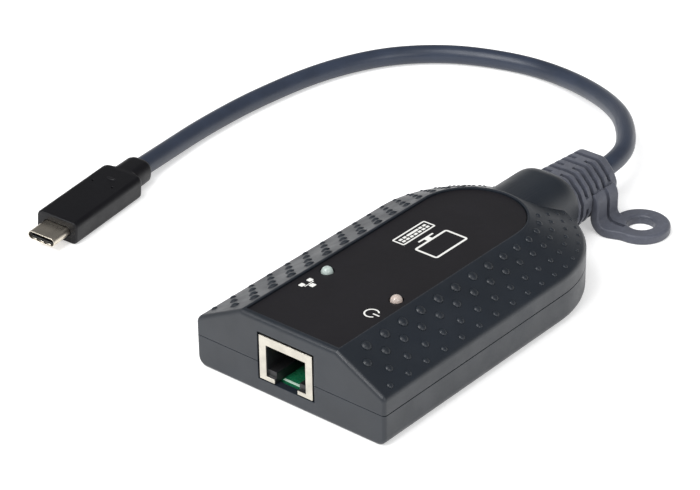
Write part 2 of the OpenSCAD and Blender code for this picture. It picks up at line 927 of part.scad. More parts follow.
// A round tube along a path, its ends square to the first and last directions.
module tube(path, d, sides, first, last) {
    rings = len(path);
    points = [
        for (i = [0 : rings - 1])
            each ring_points(path[i], ring_axis(path, i, first, last), d / 2, sides)
    ];
    walls = [
        for (i = [0 : rings - 2], k = [0 : sides - 1])
            let (a = i * sides + k, b = i * sides + (k + 1) % sides)
            each [[a, b, b + sides], [a, b + sides, a + sides]]
    ];
    near_end = [for (k = [1 : sides - 2]) [0, k + 1, k]];
    far = (rings - 1) * sides;
    far_end = [for (k = [1 : sides - 2]) [far, far + k, far + k + 1]];
    polyhedron(points, concat(walls, near_end, far_end));
}

// Wires from the cable's stripped end down to the header plug.
module lead_wires() {
    plug_face = header_y + header_skin + header_plug_d;
    spread = (cable_d - wire_d) / 2 - slip;
    ease = [0, (tail_front - plug_face) / 4, 0];
    for (i = [0 : wire_count - 1]) {
        place = i - (wire_count - 1) / 2;
        turn = place * 360 / wire_count;
        start = [spread * sin(turn), tail_front, cable_z + spread * cos(turn)];
        end = [place * wire_d * 1.6, plug_face, board_top + header_h / 2];
        color(wire_colours[i])
            tube([start, start - ease, (start + end) / 2, end + ease, end], wire_d, wire_sides,
                [0, -1, 0], [0, -1, 0]);
    }
}

// A lamp: flange, round body and dome, standing on its base at z = 0.
module lamp() {
    r = lamp_d / 2;
    rotate_extrude() {
        square([lamp_flange_d / 2, lamp_flange_h]);
        square([r, lamp_body_h - r]);
        intersection() {
            translate([0, lamp_body_h - r])
                circle(r);
            square([lamp_d, lamp_body_h]);
        }
    }
}

module link_lamp() {
    color(clear_lamp)
        translate([-lamp_x, lamp_y, lamp_base_z])
            lamp();
}

module power_lamp() {
    color(clear_lamp)
        translate([lamp_x, lamp_y, lamp_base_z])
            lamp();
}

// Black tubes that hold the lamps up from the board.
module lamp_spacers() {
    color(chip_black)
        for (side = [-1, 1])
            translate([side * lamp_x, lamp_y, board_top])
                difference() {
                    cylinder(h = lamp_base_z - board_top, d = spacer_d);
                    translate([0, 0, -cut])
                        cylinder(h = lamp_base_z, d = spacer_bore);
                }
}

module lamp_leads() {
    color(bright_metal)
        for (side = [-1, 1], pin = [-1, 1])
            translate([side * lamp_x + pin * lamp_pin_pitch / 2, lamp_y, 0])
                translate([-lamp_pin / 2, -lamp_pin / 2, board_z])
                    cube([lamp_pin, lamp_pin, lamp_base_z - board_z]);
}

// The boot's section, moved in by inset, with its edges rounded.
module boot_outline(inset) {
    half = [boot_root_w / 2 - inset, boot_root_h / 2 - inset];
    right = [for (s = boot_outline_shares) [s[0] * half[0], s[1] * half[1]]];
    left = [for (i = [len(right) - 2 : -1 : 1]) [-right[i][0], right[i][1]]];
    offset(r = boot_edge_r, $fn = 16)
        offset(delta = -boot_edge_r)
            polygon(concat(right, left));
}

// The boot's tapered body, or its core when moved in by inset.
module boot_body(inset) {
    taper = [boot_end_w / boot_root_w, boot_end_h / boot_root_h];
    translate([0, neck_end, cable_z])
        rotate([90, 0, 0])
            mirror([0, 0, 1])
                linear_extrude(boot_len, scale = taper, slices = 1, $fn = 24)
                    boot_outline(inset);
}

// Slabs where the grooves lie: odd ones are bridged at the sides, the others above and below.
module boot_grooves() {
    for (i = [0 : groove_count - 1])
        translate([0, neck_end + groove_first + i * groove_pitch - groove_w / 2, cable_z])
            difference() {
                translate([-boot_root_w, 0, -boot_root_h])
                    cube([2 * boot_root_w, groove_w, 2 * boot_root_h]);
                if (i % 2 == 0)
                    translate([-bridge_w / 2, -cut, -2 * boot_root_h])
                        cube([bridge_w, groove_w + 2 * cut, 4 * boot_root_h]);
                else
                    translate([-2 * boot_root_w, -cut, -bridge_w / 2])
                        cube([4 * boot_root_w, groove_w + 2 * cut, bridge_w]);
            }
}

module cable_boot() {
    color(boot_grey)
        difference() {
            union() {
                difference() {
                    boot_body(0);
                    difference() {
                        boot_grooves();
                        boot_body(groove_depth);
                    }
                }
                translate([0, neck_end, cable_z])
                    rotate([90, 0, 0]) {
                        cylinder(h = neck_wall, d = throat_d);
                        translate([0, 0, neck_wall])
                            cylinder(h = flange_t, d = flange_d);
                    }
            }
            translate([0, boot_end + cut, cable_z])
                rotate([90, 0, 0])
                    cylinder(h = boot_len + neck_wall + flange_t + 2 * cut, r = cable_d / 2 + insert_gap);
        }
}

// Strap down the boot's side, arm along the surface, and ring for a tie or a screw.
module tie_lug() {
    color(boot_grey)
        difference() {
            union() {
                translate([0, strap_back, 0])
                    rotate([90, 0, 0])
                        linear_extrude(strap_w)
                            strap_section();
                translate([strap_x, lug_y - lug_ring_r, 0])
                    cube([lug_x - strap_x, strap_back - lug_y + lug_ring_r, lug_t]);
                translate([lug_x, lug_y, 0])
                    cylinder(h = lug_t, r = lug_ring_r);
            }
            translate([lug_x, lug_y, -cut])
                cylinder(h = lug_t + 2 * cut, d = lug_hole_d);
            strap_groove();
            boot_body(0);
        }
}

// The strap seen along the cable: it joins the boot's side above, and bends out to the arm below.
module strap_section() {
    bend = strap_in + strap_r;
    translate([strap_in, strap_r])
        square([strap_t, strap_h - strap_r]);
    translate([strap_in - strap_t / 2, strap_join_z])
        square([strap_t, strap_h - strap_join_z]);
    intersection() {
        translate([bend, strap_r])
            circle(strap_r);
        square([bend, strap_r]);
    }
    translate([bend, 0])
        square([strap_x + strap_fillet - bend, lug_t]);
    difference() {
        translate([strap_x, lug_t])
            square(strap_fillet);
        translate([strap_x + strap_fillet, lug_t + strap_fillet])
            circle(strap_fillet);
    }
}

// Groove that parts the strap into two rails, in line with the boot's fifth groove.
module strap_groove() {
    y = neck_end + groove_first + strap_slot * groove_pitch - groove_w / 2;
    translate([strap_x - groove_depth / 2, y, lug_t / 2])
        cube([strap_slot_end - strap_x + groove_depth / 2, groove_w, strap_h]);
}

// Metal ring crimped on the cable just behind the boot's flange.
module crimp_ring() {
    color(bright_metal)
        translate([0, flange_front, cable_z])
            rotate([90, 0, 0])
                difference() {
                    cylinder(h = flange_t, r = cable_d / 2 + crimp_t);
                    translate([0, 0, -cut])
                        cylinder(h = flange_t + 2 * cut, r = cable_d / 2 + insert_gap);
                }
}

// The cable's own stretch inside the neck and the boot.
module cable_tail() {
    color(cable_blue)
        translate([0, boot_end, cable_z])
            rotate([90, 0, 0])
                cylinder(h = boot_end - tail_front, d = cable_d);
}

module usb_cable() {
    color(cable_blue)
        tube(cable_route, cable_d, cable_sides, [0, 1, 0], -plug_axis);
}

// The plug's place: its own origin is the middle of the moulded body's front face, +Y to the cable.
module at_plug() {
    translate([plug_x, plug_y, plug_z])
        rotate([0, plug_roll, plug_yaw])
            children();
}

// A bar along +Y from y = start, with a round-cornered section.
module round_bar(start, len, w, t, r) {
    translate([0, start + len, 0])
        rotate([90, 0, 0])
            linear_extrude(len) {
                square([w - 2 * r, t], center = true);
                square([w, t - 2 * r], center = true);
                for (sx = [-1, 1], sy = [-1, 1])
                    translate([sx * (w / 2 - r), sy * (t / 2 - r)])
                        circle(r);
            }
}

// A bar along +Y whose narrow edges are full rounds.
module oval_bar(start, len, w, t) {
    translate([0, start + len, 0])
        rotate([90, 0, 0])
            linear_extrude(len) {
                square([w - t, t], center = true);
                for (side = [-1, 1])
                    translate([side * (w - t) / 2, 0])
                        circle(t / 2);
            }
}

module plug_cover() {
    color(plug_black)
        at_plug()
            difference() {
                union() {
                    round_bar(0, plug_len, plug_w, plug_t, plug_r);
                    round_bar(plug_len, collar_len, collar_w, collar_t, collar_t * 0.42);
                }
                oval_bar(-cut, shell_in + cut, shell_w, shell_h);
                card_space();
                for (side = [-1, 1])
                    translate([side * mark_x, plug_len * mark_share, plug_t / 2 - mark_depth])
                        cylinder(h = mark_depth + cut, d = mark_d);
            }
}

module plug_shell() {
    color(steel)
        at_plug()
            difference() {
                oval_bar(-shell_out, shell_out + shell_in, shell_w, shell_h);
                oval_bar(-shell_out - cut, shell_out + shell_in + 2 * cut,
                    shell_w - 2 * shell_wall, shell_h - 2 * shell_wall);
            }
}

// Moulded insert in the shell, with the slot that takes the port's tongue.
module plug_insert() {
    front = insert_back - shell_out;
    color(chip_black)
        at_plug()
            difference() {
                oval_bar(front, shell_in - front, shell_w - 2 * shell_wall, shell_h - 2 * shell_wall);
                translate([-tongue_w / 2, front - cut, -tongue_h / 2])
                    cube([tongue_w, tongue_depth + cut, tongue_h]);
            }
}

// Two rows of contacts on the roof and floor of the insert's slot.
module plug_contacts() {
    length = tongue_depth * 0.8;
    color(gold)
        at_plug()
            for (i = [0 : pin_count - 1], side = [0, 1])
                mirror([0, 0, side])
                    translate([
                        (i - (pin_count - 1) / 2) * pin_pitch - pin_w / 2,
                        insert_back - shell_out + tongue_depth - length,
                        tongue_h / 2 - pin_t
                    ])
                        cube([pin_w, length, pin_t]);
}

// Ground springs that show as three bright marks just inside the mouth, above and below.
module plug_springs() {
    color(bright_metal)
        at_plug()
            for (i = [-1 : 1], side = [0, 1])
                mirror([0, 0, side])
                    translate([
                        i * spring_pitch - spring_w / 2,
                        -shell_out + insert_back / 3,
                        shell_h / 2 - shell_wall - pin_t * 2
                    ])
                        cube([spring_w, insert_back * 2 / 3, pin_t * 2]);
}

module card_space() {
    translate([-card_w / 2, shell_in, -card_t / 2])
        cube([card_w, card_len, card_t]);
}

module plug_board() {
    color(board_green)
        at_plug()
            card_space();
}

top_cover();
base_cover();
top_plate();
housing_screws();
main_board();
board_screws();
jack_shield();
jack_housing();
jack_contacts();
video_processor();
frame_memory();
network_chip();
flash_memory();
line_transformer();
clock_crystal();
supply_capacitors();
supply_inductor();
small_passives();
cable_header();
header_plug();
lead_wires();
link_lamp();
power_lamp();
lamp_spacers();
lamp_leads();
cable_boot();
tie_lug();
crimp_ring();
cable_tail();
usb_cable();
plug_cover();
plug_shell();
plug_insert();
plug_contacts();
plug_springs();
plug_board();
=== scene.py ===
"""Finished looks of a network adapter with a captive USB-C cable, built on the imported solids."""

import math
from contextlib import contextmanager

import bmesh
import bpy
from mathutils import Matrix, Vector


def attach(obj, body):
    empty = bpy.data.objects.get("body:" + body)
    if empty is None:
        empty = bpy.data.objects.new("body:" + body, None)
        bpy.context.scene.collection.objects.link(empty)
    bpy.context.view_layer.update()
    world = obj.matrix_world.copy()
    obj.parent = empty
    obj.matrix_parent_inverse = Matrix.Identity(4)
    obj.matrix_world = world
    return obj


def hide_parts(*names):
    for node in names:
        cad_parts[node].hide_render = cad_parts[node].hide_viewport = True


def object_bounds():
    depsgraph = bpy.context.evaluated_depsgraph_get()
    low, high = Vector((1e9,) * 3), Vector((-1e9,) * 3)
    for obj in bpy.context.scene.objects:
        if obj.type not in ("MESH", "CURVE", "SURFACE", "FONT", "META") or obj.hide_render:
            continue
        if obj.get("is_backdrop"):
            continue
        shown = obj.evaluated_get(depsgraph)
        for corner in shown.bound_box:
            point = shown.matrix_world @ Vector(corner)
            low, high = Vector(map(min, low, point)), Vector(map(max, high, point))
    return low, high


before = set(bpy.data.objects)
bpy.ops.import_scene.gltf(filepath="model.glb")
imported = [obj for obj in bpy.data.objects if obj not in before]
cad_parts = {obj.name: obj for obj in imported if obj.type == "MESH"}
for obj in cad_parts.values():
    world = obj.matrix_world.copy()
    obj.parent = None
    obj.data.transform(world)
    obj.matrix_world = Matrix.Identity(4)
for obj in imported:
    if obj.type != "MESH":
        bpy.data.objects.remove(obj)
SOLID_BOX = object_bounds()

bl_info = {
    "name": "Network adapter looks",
    "version": (1, 0, 0),
    "blender": (4, 5, 0),
    "location": "3D View > Sidebar > Adapter",
    "description": "Builds the covers, jack, lamps, boot, cable and plug of a network adapter",
    "category": "Object",
}

MM = 0.001

# Sizes in millimetres. The housing's are those of its solids
HALF_W = 28.4
FRONT_Y = -48.2
BACK_Y = 48.2
ROUND_Y = BACK_Y - HALF_W
TOP_Z = 20.3
RIDGE_Z = 13.0
SEAM_Z = 8.38
COVER_Z = 8.54
WALL = 2.0
FLOOR_Z = 1.6
LIP_HALF = 27.3
LIP_LOW = 6.3
LIP_TOP = 9.8
JOINT_LOW = 7.0
FRONT_STEPS = (0.0, 0.02, 0.08, 0.18, 0.32, 0.5, 0.7, 0.9, 1.1, 1.3)
PANEL_HALF = 14.4
PANEL_FRONT = 1.8
RECESS_HALF = 13.9
RECESS_Z = 19.3
PLATE_HALF = 13.75
PLATE_Z = 19.9
PLATE_GAP = 0.15
PLATE_ROUND = 0.15
SLOPE = (TOP_Z - RIDGE_Z) / (HALF_W - PANEL_HALF)
SLOPE_RUN = math.sqrt(1 + SLOPE * SLOPE)

# The neck, a little higher and squarer than its solid: a power curve between a circle and a box
NECK_R = 9.0
NECK_END = 52.8
NECK_START = 34.0
NECK_HALF = 9.5
NECK_TOP = 19.7
NECK_ROOT_TOP = 16.8
NECK_ROUND = 4.4
NECK_WALL = 1.6
NECK_POWER = 0.72
NECK_LOW_ROUND = 3.0
NECK_BORE = 5.1

# Round posts and bores: radius, lower end and upper end
COVER_POST = (3.0, 6.0, 13.6)
COVER_PILOT = (1.55, 5.0, 11.1)
BASE_POST = (3.6, 0.8, 6.0)
BOARD_REST = (2.4, 0.8, 2.5)
SCREW_WELL = (2.6, -1.0, 3.0)
SCREW_HOLE = (1.6, 2.0, 7.0)
WELL_MOUTH = (2.95, -0.05, 0.28)
LAMP_HOLE = (1.8, 17.0, 22.0)
SCREWS = ((-22.3, -40.0), (22.3, -40.0), (-14.0, 37.5), (14.0, 37.5))
POSTS = ((-15.54, -40.7), (15.54, -40.7), (-15.54, -17.1), (15.54, -17.1), (-14.8, 3.3), (14.8, 27.7))

# Rows of bumps: how far down the slope each lies, which start half a step late, and their sizes;
# then the first one's distance from the front, the share of the length with even steps, the
# shortest step as a share, the space left round the neck, and the bumps before that is cut out
BUMP_ROWS = (0.175, 0.396, 0.642, 0.861)
BUMP_OFFSETS = (0.53, 0.0, 0.53, 0.0)
BUMP_SIZE_SHARES = (1.0, 0.68, 0.35, 0.0)
FIRST_BUMP = 4.4
BUMP_EVEN_SHARE = 0.487
BUMP_LEAST_SHARE = 0.58
BUMP_NECK_GAP = 1.2
BUMPS_COUNT = 208

# Printed signs: a middle, and boxes with two corners from it and a corner radius
LINK_SIGN = (-9.9, -28.8)
LINK_BOXES = (
    (0.35, -0.75, 1.65, 0.75, 0.15), (-1.65, 0.75, -0.45, 2.15, 0.15), (-1.65, -2.15, -0.45, -0.75, 0.15),
    (-0.12, -1.58, 0.12, 1.58, 0.05), (0.12, -0.13, 0.35, 0.13, 0.02), (-0.45, 1.32, -0.12, 1.58, 0.02),
    (-0.45, -1.58, -0.12, -1.32, 0.02),
)
POWER_SIGN = (9.9, -29.9)
POWER_BOXES = ((0.3, -0.2, 2.2, 0.2, 0.08),)
SCREEN_SIGN = (0.6, 5.0)
SCREEN_BOXES = ((-2.4, -0.9, -1.4, 0.9, 0.1), (-2.9, -2.8, -2.4, 2.8, 0.15))
SCREEN_FRAMES = ((-1.4, -6.2, 5.6, 6.2, 0.6, 0.8), (-8.2, -6.2, -4.4, 6.2, 0.45, 0.5))
KEY_FIRST = (-6.1, -5.1)
KEY_STEP = (1.05, 1.5)

# Jack and lamps; a contact's side line is in YZ, its section is half width and half thickness
JACK_X = -0.8
JACK_W = 16.0
JACK_Z = 4.1
JACK_H = 11.85
JACK_GAP = 0.5
CONTACTS = 8
CONTACT_PITCH = 1.02
CONTACT_LINE = ((-45.7, 13.45), (-44.9, 13.0), (-39.3, 10.5), (-38.75, 10.55))
CONTACT_SECTION = (
    (0.225, 0.098), (0.185, 0.14), (-0.185, 0.14), (-0.225, 0.098),
    (-0.225, -0.098), (-0.185, -0.14), (0.185, -0.14), (0.225, -0.098),
)
BOARD_EDGE = ((-45.45, 4.0), (-44.75, 4.0), (-44.75, 4.16), (-45.45, 4.16))
BOARD_EDGE_HALF = 3.2
LAMP_X = 10.45
LAMP_Y = -21.7
LAMP_R = 1.5
LAMP_BASE_Z = 15.39
LAMP_TOP_Z = 21.1

# A lamp's flange and its inner cup, as radius and height above its base
LAMP_FLANGE = ((0.02, 0.0), (1.8, 0.0), (1.905, 0.1), (1.905, 0.9), (1.8, 1.0), (LAMP_R, 1.05))
LAMP_CUP = ((0.02, 2.1), (0.55, 2.1), (0.85, 2.9), (0.8, 2.92), (0.42, 2.4), (0.02, 2.35))
LAMPS = (
    (-1, "lamp_link", "link_lamp", "Clear epoxy, cool", "#dfeee9"),
    (1, "lamp_power", "power_lamp", "Clear epoxy, warm", "#f3e2d8"),
)

# Boot and lug: half widths and half heights at the root and the tip, and a half outline in shares
BOOT_END = 71.8
BOOT_Z = 9.2
BOOT_ROOT = (8.8, 8.0)
BOOT_TIP = (7.8, 6.9)
BOOT_OUTLINE = (
    (0, 1), (0.47, 1), (0.84, 0.56), (1, 0.16), (0.97, -0.32), (0.8, -0.7), (0.5, -0.96), (0.3, -1), (0, -1),
)
BOOT_BORE = 2.675
BOOT_THROAT = 5.0
BOOT_FLANGE = 6.1
GROOVES = 6
GROOVE_FIRST = 2.3
GROOVE_PITCH = 2.65
BRIDGE_ABOVE = (-1.2, 1.5)
BRIDGE_BESIDE = (-0.9, 1.9)
LUG_AT = (17.15, 69.0)
LUG_T = 2.6
LUG_BORE = 3.5
LUG_R = 7.5
LUG_CUT = 4.6
LUG_BEND = (11.7, 4.4, 3.1)
LUG_SIDES = 72
LUG_SLOT = (63.95, 65.25)
SLOT_START = (6.9, 11.3, 0.8, 0.6)
STRAP_EDGES = (60.1, 69.3)
STRAP_WAY = ((7.5, 10.5, 0.8, 0.6), (8.25, 9.5, 0.94, 0.34), (8.6, 8.4, 1.0, 0.0), (8.6, 4.4, 1.0, 0.0))
ARM_PLACES = (12.5, 13.3, 14.1, 15.0, 16.0, 17.1)
ARM_EDGES = ((60.2, 69.5), (60.45, 70.1), (60.75, 71.2), (61.1, 73.0), (61.4, 75.2), (61.52, 76.4))

# Plug
PLUG_AT = (-96.2, -27.0, 3.59)
PLUG_YAW = math.radians(8.4)
PLUG_ROLL = math.radians(4.8)
PLUG_LEN = 29.1
COLLAR_LEN = 7.9
PLUG_END = PLUG_LEN + COLLAR_LEN
SHELL_OUT = 6.65
SHELL_W = 8.25
SHELL_T = 2.4
SHELL_WALL = 0.25
SHELL_ROOT = 3.0

# The plug's two dimples, and its raised oval: half sizes, then share and height of each ring
PLUG_MARKS = ((-3.4, 20.1), (2.9, 20.1))
GATE = (1.35, 0.5)
GATE_Y = 23.6
GATE_RINGS = ((1.0, 3.1), (1.0, 3.22), (0.85, 3.36), (0.55, 3.44), (0.1, 3.47))

# Camera at the product picture's angle, in metres, and the lamps: name, place, size and power
CAMERA_LENS = 142.03
CAMERA_AT = (0.354366, -0.445483, 0.349376)
CAMERA_RIGHT = (0.76879543, 0.6393714, -0.01256168)
CAMERA_UP = (-0.31115463, 0.39115652, 0.86612896)
CAMERA_BACK = (0.55869166, -0.66196736, 0.49966272)
STAGE_CENTRE = (-0.03, 0.03, 0)
SOFTBOXES = (
    ("key", (-0.2, -0.95, 0.95), (1.0, 0.4), 11.0),
    ("fill", (0.95, -0.3, 0.6), (0.5, 0.5), 3.0),
    ("top", (-0.1, -0.45, 1.15), (0.7, 0.5), 6.0),
)
FLOOR_R = 6.0

# The cable's route, from the boot round to the plug's collar
CABLE_ROUTE = (
    (0, 71.8, 9.2), (0, 80, 9.2), (-2, 89, 9), (-8, 98, 8.5), (-15, 106, 7.5), (-24, 113, 6),
    (-34, 118.5, 4.5), (-45, 122.5, 3.2), (-57, 123.5, 2.7), (-68, 121, 2.7), (-79, 116.5, 2.7),
    (-88, 109.5, 2.7), (-95, 101, 2.7), (-100, 90, 2.7), (-103, 79, 2.7), (-104.5, 68, 2.7),
    (-105.5, 56, 2.7), (-105.5, 44, 2.7), (-105, 33, 2.7), (-103.5, 22, 3),
    (PLUG_AT[0] - PLUG_END * math.sin(PLUG_YAW), PLUG_AT[1] + PLUG_END * math.cos(PLUG_YAW), PLUG_AT[2]),
)


def linear(code):
    """Colour written as sRGB hex, as the linear values that Blender's sockets take."""
    parts = [int(code[i : i + 2], 16) / 255 for i in (1, 3, 5)]
    return tuple(c / 12.92 if c <= 0.04045 else ((c + 0.055) / 1.055) ** 2.4 for c in parts)


def shade(value, factor=1.0):
    """The colour, lighter or darker, as a socket takes it."""
    return (*[min(1.0, c * factor) for c in value], 1.0)


def size_field(name, about, value, low, high):
    """Length in metres that the panel shows, with its limits."""
    return bpy.props.FloatProperty(
        name=name, description=about, default=value, min=low, max=high, unit="LENGTH")


def colour_field(name, about, code):
    """Colour that the panel shows."""
    return bpy.props.FloatVectorProperty(
        name=name, description=about, subtype="COLOR", default=linear(code), min=0, max=1)


class AdapterSizes(bpy.types.PropertyGroup):
    ridge_round: size_field(
        "Ridge rounding", "Radius between the slope and the upright side", 0.0018, 0.0003, 0.003)
    front_round: size_field(
        "Front rounding", "Radius along the top edges of the jack face", 0.0013, 0.0003, 0.002)
    corner_round: size_field(
        "Corner rounding", "Radius of the upright front corners", 0.0009, 0.0005, 0.004)
    base_round: size_field(
        "Base rounding", "Radius along the lower edges of the housing", 0.0026, 0.001, 0.004)
    edge_break: size_field(
        "Edge break", "Width of the small bevel on cut plastic edges", 0.00018, 0.00005, 0.0004)
    bump_pitch: size_field(
        "Bump pitch", "Distance between neighbouring bumps of a row", 0.00653, 0.005, 0.009)
    bump_fade: size_field(
        "Bump fade", "How much shorter each step gets in the round end", 0.0004, 0.0, 0.0006)
    bump_large: size_field(
        "Large bump", "Diameter of the bumps beside the top plate", 0.0028, 0.002, 0.0032)
    bump_small: size_field(
        "Small bump", "Diameter of the bumps beside the ridge", 0.0018, 0.0012, 0.0022)
    bump_height: size_field(
        "Bump height", "Height of the largest bumps", 0.00062, 0.0003, 0.0008)
    groove_width: size_field(
        "Boot groove width", "Width of the grooves round the cable boot", 0.0012, 0.0009, 0.0014)
    groove_depth: size_field(
        "Boot groove depth", "Depth of the grooves round the cable boot", 0.0013, 0.0008, 0.0016)
    cable_thickness: size_field(
        "Cable thickness", "Diameter of the cable's jacket", 0.00525, 0.0045, 0.006)
    print_height: size_field(
        "Print height", "Thickness of the printed signs on the plate", 0.00002, 0.00001, 0.0001)


class AdapterColours(bpy.types.PropertyGroup):
    cover: colour_field("Covers", "Moulded plastic of both covers", "#181e26")
    plate: colour_field("Top plate", "Satin plate in the top face", "#110f14")
    print: colour_field("Print", "Printed signs on the plate", "#e6e6e2")
    boot: colour_field("Boot and lug", "Elastomer of the boot and the tie lug", "#484b56")
    cable: colour_field("Cable", "Jacket of the cable", "#2a3242")
    plug: colour_field("Plug moulding", "Moulding round the USB-C plug", "#08080d")
    jack: colour_field("Jack sheet", "Tinned sheet metal of the network jack", "#cdc8bd")
    board: colour_field("Board", "Solder mask of the circuit board", "#0b5a3c")


def sizes():
    return bpy.context.scene.adapter_sizes


def colours():
    return bpy.context.scene.adapter_colours


# Node trees and materials


def feed(tree, node, inputs):
    """Gives a node's inputs their values, or links a socket or another node's first output."""
    for name, value in inputs.items():
        if isinstance(value, bpy.types.Node):
            value = value.outputs[0]
        if isinstance(value, bpy.types.NodeSocket):
            tree.links.new(value, node.inputs[name])
        else:
            node.inputs[name].default_value = value


def add(tree, kind, inputs=None, **settings):
    """Adds one node with its settings and its inputs."""
    made = tree.nodes.new(kind)
    for name, value in settings.items():
        setattr(made, name, value)
    feed(tree, made, inputs or {})
    return made


def pattern(tree, where, size_mm, detail, low=None, high=None, start=0.35, stop=0.65, stretch=None):
    """Spots about that many millimetres across, as grey or as a number between low and high."""
    if stretch:
        where = add(tree, "ShaderNodeMapping", {"Vector": where, "Scale": stretch})
    spots = {"Vector": where, "Scale": 1 / (size_mm * MM), "Detail": detail, "Roughness": 0.55}
    grey = add(tree, "ShaderNodeTexNoise", spots)
    if low is None:
        return grey
    reach = {"Value": grey, "From Min": start, "From Max": stop, "To Min": low, "To Max": high}
    return add(tree, "ShaderNodeMapRange", reach)


def coats(tree, base, *over):
    """A colour with others laid over it, each as far as its share says."""
    for share, colour in over:
        layer = {"Factor": share, 6: base, 7: colour}
        base = add(tree, "ShaderNodeMix", layer, data_type="RGBA").outputs[2]
    return base


def start_material(name):
    made = bpy.data.materials.new(name)
    made.use_nodes = True
    tree = made.node_tree
    tree.nodes.clear()
    shader = add(tree, "ShaderNodeBsdfPrincipled")
    add(tree, "ShaderNodeOutputMaterial", {"Surface": shader}, target="ALL")
    return made, tree, shader, add(tree, "ShaderNodeTexCoord").outputs["Object"]


def finish_shader(tree, shader, colour, rough, height, depth_mm=0.01, **sockets):
    """Links colour, roughness and relief, and sets what is the same all over the surface."""
    relief = add(tree, "ShaderNodeBump", {"Height": height, "Distance": depth_mm * MM, "Strength": 1.0})
    feed(tree, shader, {"Base Color": colour, "Roughness": rough, "Normal": relief})
    feed(tree, shader, {name.replace("_", " "): value for name, value in sockets.items()})


def worn_edges(tree, radius_mm):
    """Share of a point that lies on a rounded or cut edge, from 0 on a flat to 1."""
    soft = add(tree, "ShaderNodeBevel", {"Radius": radius_mm * MM}, samples=4)
    flat = add(tree, "ShaderNodeNewGeometry").outputs["Normal"]
    alike = add(tree, "ShaderNodeVectorMath", {0: soft, 1: flat}, operation="DOT_PRODUCT").outputs["Value"]
    bent = {"Value": alike, "From Min": 0.88, "From Max": 0.995, "To Min": 1.0, "To Max": 0.0}
    return add(tree, "ShaderNodeMapRange", bent)


def moulded_plastic(name, colour, rough=(0.36, 0.46), grain_mm=0.35, depth_mm=0.008, wear=1.5, gloss=0.5):
    """ABS from a spark-eroded mould: a fine even grain breaks the gloss, edges are rubbed paler."""
    made, tree, shader, where = start_material(name)
    cloud = pattern(tree, where, 14, 2, 0, 1)
    scuff = pattern(tree, where, 2.2, 5, 0.2, 1)
    rub = add(tree, "ShaderNodeMath", {0: worn_edges(tree, 0.5), 1: scuff}, operation="MULTIPLY")
    base = coats(tree, shade(colour, 0.9), (cloud, shade(colour, 1.12)), (rub, shade(colour, wear)))
    finish_shader(tree, shader, base, pattern(tree, where, 6, 4, *rough), pattern(tree, where, grain_mm, 2),
                  depth_mm, IOR=1.53, Specular_IOR_Level=gloss)
    return made


def elastomer(name, colour, rough=(0.42, 0.56), sheen=0.15):
    """Moulded thermoplastic elastomer: soft satin, with faint dust in its fine grain."""
    made, tree, shader, where = start_material(name)
    cloud = pattern(tree, where, 9, 3, 0, 1)
    dust = pattern(tree, where, 1.1, 6, 0, 1, 0.5, 0.78)
    base = coats(tree, shade(colour, 0.9), (cloud, shade(colour, 1.1)), (dust, shade(colour, 1.3)))
    finish_shader(tree, shader, base, pattern(tree, where, 4, 4, *rough), pattern(tree, where, 0.3, 2), 0.008,
                  IOR=1.5, Sheen_Weight=sheen, Sheen_Roughness=0.5)
    return made


def jacket(name, colour):
    """Extruded cable jacket: fine lines run along it, from the die that it was drawn through."""
    made, tree, shader, where = start_material(name)
    along = add(tree, "ShaderNodeUVMap", uv_map="along")
    lines = add(tree, "ShaderNodeMapping", {"Vector": along, "Scale": (90.0, 1.2, 1.0)})
    drawn = add(tree, "ShaderNodeTexNoise", {"Vector": lines, "Scale": 1.0, "Detail": 3.0})
    gloss = {"Value": drawn, "From Min": 0.35, "From Max": 0.65, "To Min": 0.34, "To Max": 0.46}
    cloud = pattern(tree, where, 11, 3, 0, 1)
    base = coats(tree, shade(colour, 0.88), (cloud, shade(colour, 1.12)))
    relief = add(tree, "ShaderNodeMath", {0: drawn, 1: pattern(tree, where, 0.4, 2)}, operation="ADD")
    finish_shader(tree, shader, base, add(tree, "ShaderNodeMapRange", gloss), relief, 0.006, IOR=1.5)
    return made


def sheet_metal(name, colour, rough=(0.22, 0.38), line_mm=0.12, stretch=(0.05, 1.0, 1.0), depth_mm=0.003):
    """Rolled and plated sheet: fine rolling lines draw its highlights out along one way."""
    made, tree, shader, where = start_material(name)
    stain = pattern(tree, where, 2.5, 5, 0, 1, 0.4, 0.75)
    base = coats(tree, shade(colour), (stain, shade(colour, 0.8)))
    finish_shader(tree, shader, base, pattern(tree, where, line_mm, 3, *rough, stretch=stretch),
                  pattern(tree, where, line_mm, 3, stretch=stretch), depth_mm, Metallic=1.0)
    return made


def board_laminate(name, colour):
    """Glass-epoxy board under green solder mask, with copper tracks that show as paler lines."""
    made, tree, shader, where = start_material(name)
    grid = {"Vector": where, "Scale": 1 / (1.4 * MM), "Color1": (1, 1, 1, 1), "Color2": (0, 0, 0, 1),
            "Mortar": (0.5, 0.5, 0.5, 1), "Mortar Size": 0.04, "Brick Width": 2.6, "Row Height": 0.5}
    tracks = add(tree, "ShaderNodeTexBrick", grid)
    fibre = pattern(tree, where, 0.5, 3, 0, 0.3)
    base = coats(tree, shade(colour, 0.75), (tracks, shade(colour, 1.4)), (fibre, shade(linear("#3f8f63"))))
    finish_shader(tree, shader, base, pattern(tree, where, 1.2, 3, 0.2, 0.34), tracks, 0.03, IOR=1.5)
    return made


def lamp_resin(name, tint):
    """Clear epoxy of a lamp: glassy, with faint swirls from casting."""
    made, tree, shader, where = start_material(name)
    base = coats(tree, shade(tint), (pattern(tree, where, 1.6, 3, 0, 1), shade(tint, 0.92)))
    finish_shader(tree, shader, base, pattern(tree, where, 0.6, 2, 0.03, 0.1), pattern(tree, where, 1.6, 3),
                  IOR=1.54, Transmission_Weight=0.5)
    return made


